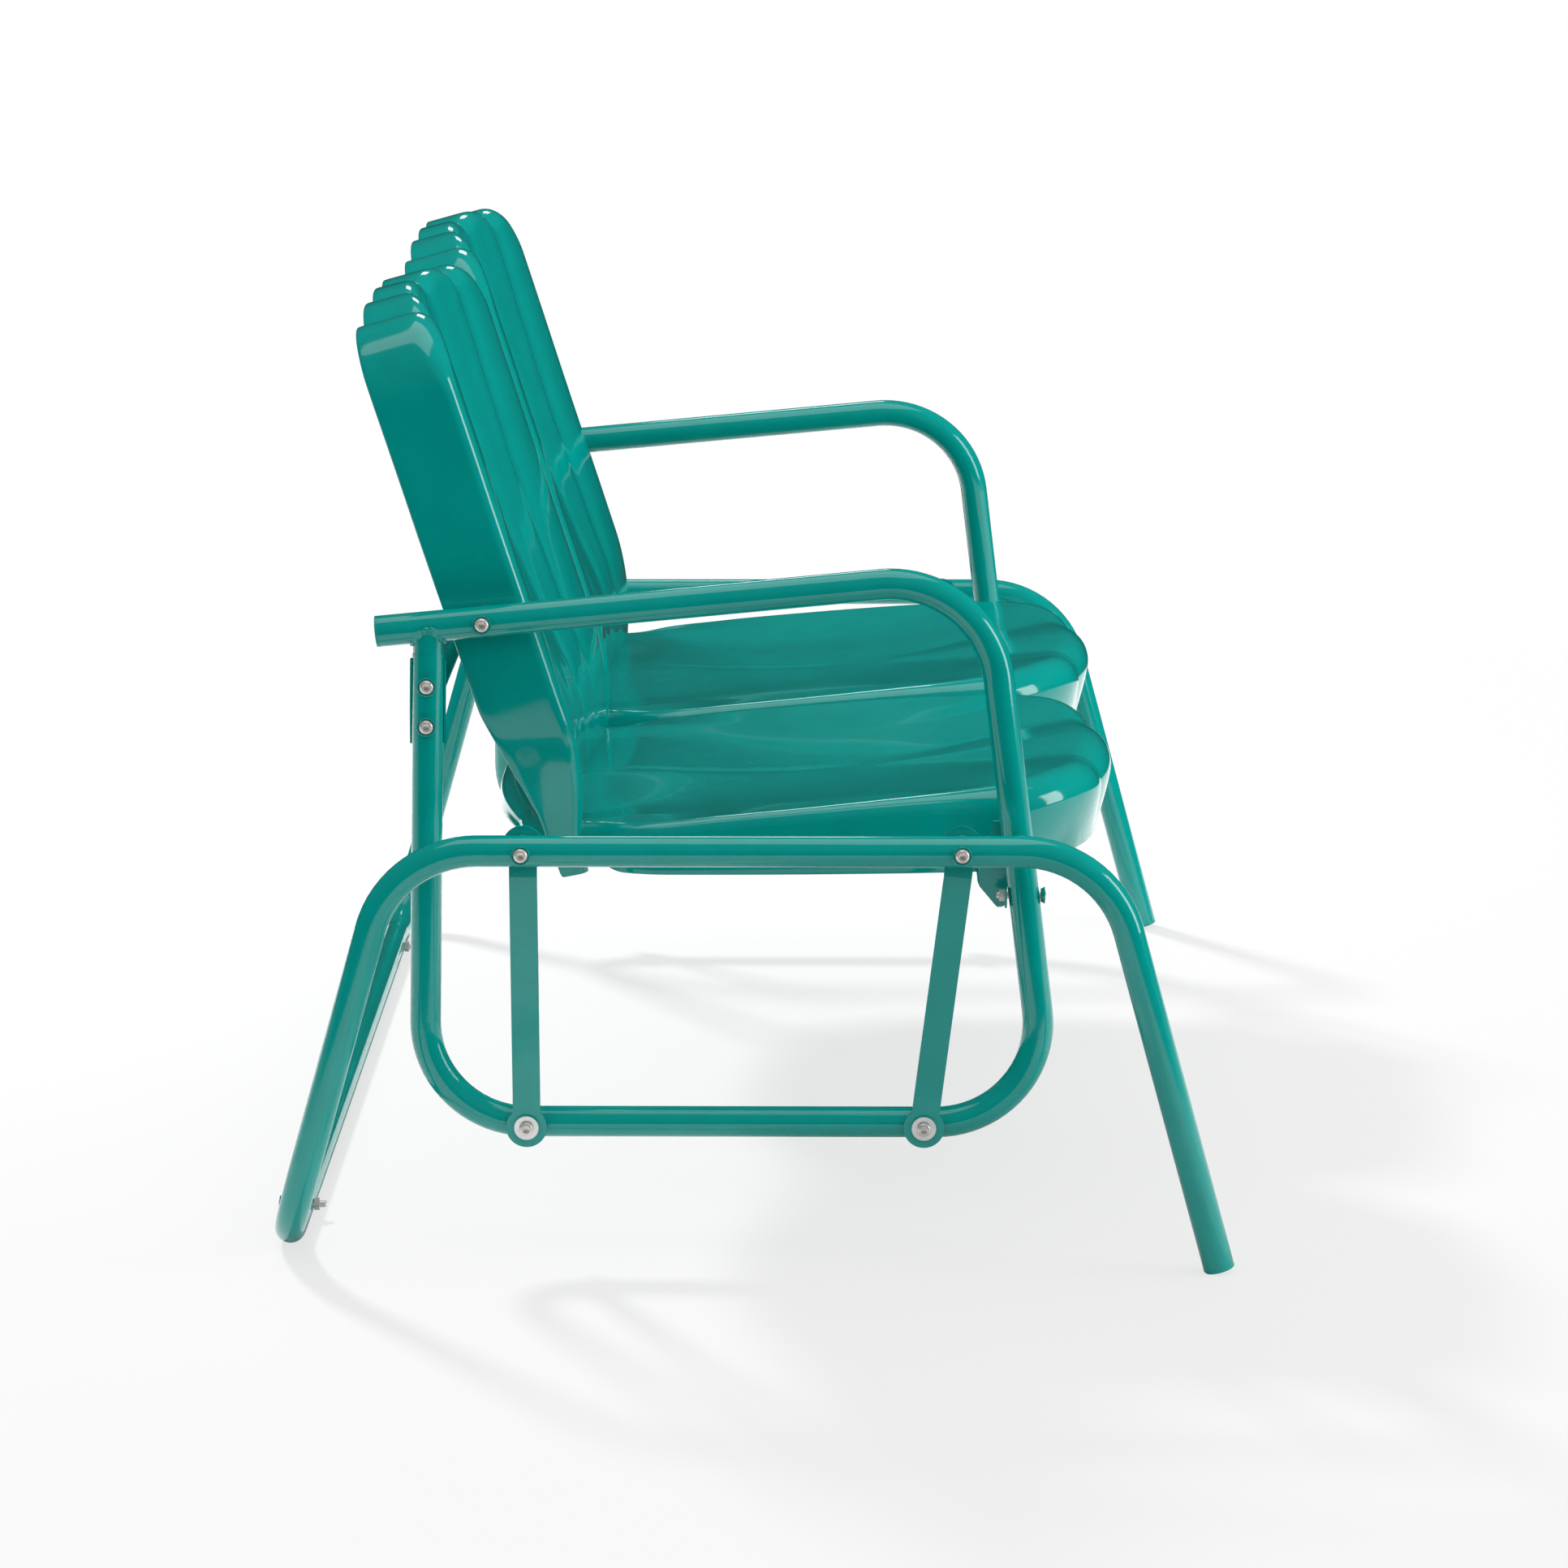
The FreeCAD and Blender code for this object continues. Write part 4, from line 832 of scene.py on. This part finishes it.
def cup(name):
    """Cup washer with a rounded rim and a recess for the bolt's head."""
    outside = [(4.2, 0), (6.6, 0), (7.3, 1.1), (8.1, 2.6), (8.7, 3.6)]
    rim = [(8.85, 4.05), (8.7, 4.35), (8.35, 4.5), (7.95, 4.45), (7.6, 4.2)]
    recess = [(7.4, 3.8), (7.3, 3.2), (7.25, CUP_SEAT + 0.05), (7.0, CUP_SEAT), (4.2, CUP_SEAT)]
    return lathed(name, outside + rim + recess)


def set_out(prototype, name, spots):
    """One piece of copies at (x, y, z) with the axis pointing outwards along X."""
    parts = []
    for x, y, z in spots:
        part = copied(prototype, name)
        turned = Matrix.Rotation(math.copysign(math.pi / 2, x), 4, "Y")
        part.data.transform(Matrix.Translation(Vector((x, y, z)) * MM) @ turned)
        parts.append(part)
    piece = joined(parts)
    smooth(piece, angle=40)
    return piece


# Places of the fasteners as (y, z), and how far out their seats lie: the rails' as x, the others' from the
# plane of the arm frame's tube, which leans inwards from its low rail up to the arm

RAIL_OUT = 626.0
POST_OUT = 14.55
ARM_OUT = 14.1
BEARING_OUT = 562.1
LOW_RAIL_HALF = 538
LOW_RAIL_Z = 117
FRAME_LEAN = 0.0704
TOP_PIVOTS = ((197, 388), (-192, 388))
LOW_PIVOTS = ((200, LOW_RAIL_Z), (-160, LOW_RAIL_Z))
POST_BOLTS = ((286.73, 482), (286.0, 518), (-243.74, 377))
ARM_BOLT = (236, 573.72)


def frame_x(z):
    """Distance of an arm frame's plane from the middle of the bench."""
    return LOW_RAIL_HALF - FRAME_LEAN * (z - LOW_RAIL_Z)


def both_sides(spots):
    return [(side * x, y, z) for label, side in SIDES for x, y, z in spots]


def spots_out(reach):
    """Places reach millimetres beyond the seats on a rail, on its arm frame's posts and on the arm."""
    rail = [(RAIL_OUT + reach, y, z) for y, z in TOP_PIVOTS]
    posts = [(frame_x(z) + POST_OUT + reach, y, z) for y, z in POST_BOLTS]
    arm = [(frame_x(ARM_BOLT[1]) + ARM_OUT + reach, *ARM_BOLT)]
    return rail, posts, arm


rail_cup_spots, post_cup_spots, arm_cup_spots = spots_out(0)
cup_master = cup("cup_master")
rail_cups = set_out(cup_master, "rail_cups", both_sides(rail_cup_spots))
belongs(rail_cups, "stand", "cup_washer", "rail_pivot_cup_washers")
seat_cups = set_out(cup_master, "seat_cups", both_sides(post_cup_spots + arm_cup_spots))
belongs(seat_cups, "seat", "cup_washer", "seat_cup_washers")
bpy.data.objects.remove(cup_master)


# Weld beads where the rear posts meet the underside of the arms, which rise towards the front

TUBE = 14.0
BEAD = 2.1
BEAD_STANDOFF = 0.6
BEAD_LUMPS = 19
LUMP_SIZE = 0.28
ARM_SLOPE = -51 / 544
POST_TOP = (285, 569)


def weld_bead(name, side):
    """Lumpy bead: a torus round the post, each point dropped to the line where the two tubes meet."""
    deselect()
    bpy.ops.mesh.primitive_torus_add(major_segments=96, minor_segments=8, major_radius=TUBE * MM,
                                     minor_radius=BEAD * MM, location=(0, 0, 0))
    piece = name_piece(name)
    for vertex in piece.data.vertices:
        turn = math.atan2(vertex.co.y, vertex.co.x)
        out = math.hypot(vertex.co.x, vertex.co.y) / MM - TUBE
        lump = 1 + LUMP_SIZE * math.sin(BEAD_LUMPS * turn)
        reach = TUBE + BEAD_STANDOFF + out * lump
        across = reach * math.cos(turn)
        y = POST_TOP[0] + reach * math.sin(turn)
        arm_z = ARM_BOLT[1] + (y - ARM_BOLT[0]) * ARM_SLOPE
        drop = math.sqrt(TUBE**2 - min(abs(across), TUBE)**2)
        z = arm_z - drop + vertex.co.z / MM * lump
        vertex.co = Vector((side * frame_x(POST_TOP[1]) + across, y, z)) * MM
    smooth(piece, angle=60)
    return piece


for label, side in SIDES:
    belongs(weld_bead("weld_bead_" + label, side), "seat", "teal_powder_coat")


# Bolts

HEAD_HEIGHT = 3.9
HEX_HALF = 2.5
SOCKET_DEPTH = 3.0
SHAFT = 4
SHAFT_CHAMFER = 1


def button_bolt(name, length):
    """Button head with a flat crown, a chamfer and a hexagon socket, on a plain shaft."""
    mouth = HEX_HALF / math.cos(math.radians(30))
    bottom = HEAD_HEIGHT - SOCKET_DEPTH
    socket = [(0, bottom - 0.6), (1.2, bottom), (mouth, bottom), (mouth, HEAD_HEIGHT - 0.5),
              (mouth + 0.4, HEAD_HEIGHT)]
    crown = [(3.6, HEAD_HEIGHT), (3.85, HEAD_HEIGHT - 0.4), (4.1, HEAD_HEIGHT), (4.9, HEAD_HEIGHT - 0.3),
             (5.6, HEAD_HEIGHT - 0.85), (6.15, HEAD_HEIGHT - 1.65), (6.45, HEAD_HEIGHT - 2.7), (6.5, 0.3),
             (6.2, 0)]
    shaft = [(SHAFT, 0), (SHAFT, SHAFT_CHAMFER - length), (SHAFT - SHAFT_CHAMFER, -length), (0, -length)]
    piece = lathed(name, socket + crown + shaft)
    flatten_socket(piece, mouth)
    return piece


def flatten_socket(piece, mouth):
    """Draw the socket's round wall, of radius mouth, in to the six flats of a hexagon."""
    for vertex in piece.data.vertices:
        radius = math.hypot(vertex.co.x, vertex.co.y) / MM
        if abs(radius - mouth) < 0.01:
            turn = math.atan2(vertex.co.y, vertex.co.x) % (math.pi / 3) - math.pi / 6
            narrow = HEX_HALF / math.cos(turn) / mouth
            vertex.co.x *= narrow
            vertex.co.y *= narrow


rail_bolt_spots, post_bolt_spots, arm_bolt_spots = spots_out(CUP_SEAT)
low_bolt_spots = [(BEARING_OUT, y, z) for y, z in LOW_PIVOTS]
BOLT_SETS = (("rail_pivot_bolts", "stand", 50, rail_bolt_spots),
             ("seat_pivot_bolts", "seat", 50, low_bolt_spots),
             ("crossbar_bolts", "seat", 45, post_bolt_spots),
             ("arm_bolts", "seat", 56, arm_bolt_spots))
for node_name, body, length, spots in BOLT_SETS:
    bolt_master = button_bolt("bolt_master", length)
    bolts = set_out(bolt_master, "turned_" + node_name, both_sides(spots))
    belongs(bolts, body, "stainless", node_name)
    bpy.data.objects.remove(bolt_master)


# Stage, in metres: a pale floor that fades into a white surround, the lamps and the camera

PAPER_SHADE = 0.12
PAPER_LIFT = 0.72
PAPER_FADE = (1.1, 2.6)
CARD_SHADE = 0.52
CARD_REACH = 1.85
CARD_EDGE = 0.2
CARD_DARK = 0.01
SKY_LIGHT = 0.62
GLOSS_HORIZON = 0.004
GLOSS_ZENITH = 0.07


def stage_floor():
    """White paper: the camera sees a soft shadow that fades to white, and reflections see a plain card."""
    deselect()
    bpy.ops.mesh.primitive_plane_add(size=60, location=(0, 0, 0))
    floor = name_piece("studio_floor")
    material, tree, shader = new_material("studio_paper")
    place = object_place(tree)
    away = math_node(tree, "ABSOLUTE", split_axes(tree, place)["X"], 0.0)
    card = ranged(tree, away, CARD_REACH, CARD_REACH + CARD_EDGE, 1.0, 0.0)
    tree.links.new(mixed_colour(tree, card, grey(CARD_DARK), grey(CARD_SHADE)), shader.inputs["Base Color"])
    shader.inputs["Roughness"].default_value = 0.95
    shader.inputs["Specular IOR Level"].default_value = 0.0
    paper = tree.nodes.new("ShaderNodeBsdfDiffuse")
    paper.inputs["Color"].default_value = (*grey(PAPER_SHADE), 1)
    lift = tree.nodes.new("ShaderNodeEmission")
    lift.inputs["Strength"].default_value = PAPER_LIFT
    lifted = tree.nodes.new("ShaderNodeAddShader")
    tree.links.new(paper.outputs[0], lifted.inputs[0])
    tree.links.new(lift.outputs[0], lifted.inputs[1])
    white = tree.nodes.new("ShaderNodeEmission")
    length = tree.nodes.new("ShaderNodeVectorMath")
    length.operation = "LENGTH"
    tree.links.new(place, length.inputs[0])
    fade = mixed_shader(tree, ranged(tree, length.outputs["Value"], *PAPER_FADE, 0.0, 1.0), lifted, white)
    seen = tree.nodes.new("ShaderNodeLightPath").outputs["Is Camera Ray"]
    shown = mixed_shader(tree, seen, shader, fade)
    tree.links.new(shown.outputs[0], tree.nodes["Material Output"].inputs["Surface"])
    floor.data.materials.append(material)
    return floor


def surround():
    """White where the camera sees it, dim in reflections and an even sky for the rest of the light."""
    world = bpy.data.worlds.new("studio")
    bpy.context.scene.world = world
    world.use_nodes = True
    tree = world.node_tree
    way = tree.nodes.new("ShaderNodeTexCoord").outputs["Generated"]
    height = ranged(tree, split_axes(tree, way)["Z"], -0.1, 0.9, 0.0, 1.0)
    dim = mixed_colour(tree, height, grey(GLOSS_HORIZON), grey(GLOSS_ZENITH))
    path = tree.nodes.new("ShaderNodeLightPath").outputs
    sky = mixed_colour(tree, path["Is Glossy Ray"], grey(SKY_LIGHT), dim)
    shown = mixed_colour(tree, path["Is Camera Ray"], sky, grey(1.0))
    tree.links.new(shown, tree.nodes["Background"].inputs["Color"])


# Lamps aim at the bench's middle: name, place, width, height, how bright the face looks, and whether the
# gloss mirrors them. The paper key lights the paper alone, for the shadow
LAMP_AIM = Vector((0, 0, 0.4))
KEY_PLACE = (2.6, 2.0, 3.05)
LAMPS = (("key_behind", KEY_PLACE, 0.5, 0.5, 52.0, False),
         ("paper_key", KEY_PLACE, 0.5, 0.5, 400.0, False),
         ("far_window", (2.3, 0.15, 2.3), 0.55, 0.5, 5.5, True),
         ("overhead", (-0.2, 0.1, 3.4), 2.6, 2.8, 1.5, True),
         ("front_card", (-0.9, -3.6, 1.5), 1.1, 2.2, 6.0, True),
         ("camera_fill", (-5.0, -1.4, 3.2), 3.0, 2.0, 2.2, False),
         ("front_fill", (0.2, -4.5, 1.9), 3.0, 2.0, 3.6, False))


def softbox(name, place, width, height, brightness, mirrored):
    lamp = bpy.data.lights.new(name, "AREA")
    lamp.shape = "RECTANGLE"
    lamp.size = width
    lamp.size_y = height
    lamp.energy = brightness * math.pi * width * height
    thing = bpy.data.objects.new(name, lamp)
    bpy.context.scene.collection.objects.link(thing)
    thing.location = place
    thing.rotation_euler = (LAMP_AIM - Vector(place)).to_track_quat("-Z", "Y").to_euler()
    thing.visible_camera = False
    thing.visible_glossy = mirrored
    return thing


# Camera as fitted to the photograph, with its angles in radians
CAMERA_PLACE = (-4.841, -0.1024, 1.427)
CAMERA_DOWN = 0.2272
CAMERA_YAW = 0.01593
CAMERA_ROLL = -0.002533
CAMERA_LENS = 113.29
CAMERA_SENSOR = 36.0
CAMERA_FAR = 200


def photo_camera():
    camera = bpy.data.cameras.new("photo_camera")
    camera.lens = CAMERA_LENS
    camera.sensor_width = CAMERA_SENSOR
    camera.clip_end = CAMERA_FAR
    thing = bpy.data.objects.new("photo_camera", camera)
    bpy.context.scene.collection.objects.link(thing)
    level = math.cos(CAMERA_DOWN)
    ahead = Vector((math.cos(CAMERA_YAW) * level, math.sin(CAMERA_YAW) * level, -math.sin(CAMERA_DOWN)))
    right = Vector((math.sin(CAMERA_YAW), -math.cos(CAMERA_YAW), 0))
    up = right.cross(ahead)
    turned_right = right * math.cos(CAMERA_ROLL) + up * math.sin(CAMERA_ROLL)
    turned_up = up * math.cos(CAMERA_ROLL) - right * math.sin(CAMERA_ROLL)
    axes = Matrix((turned_right, turned_up, -ahead)).transposed()
    thing.matrix_world = Matrix.Translation(Vector(CAMERA_PLACE)) @ axes.to_4x4()
    bpy.context.scene.camera = thing


floor = stage_floor()
surround()
lamps = {lamp[0]: softbox(*lamp) for lamp in LAMPS}
paper_only = bpy.data.collections.new("paper_only")
paper_only.objects.link(floor)
lamps["paper_key"].light_linking.receiver_collection = paper_only
photo_camera()

bpy.context.scene.view_settings.view_transform = "Standard"
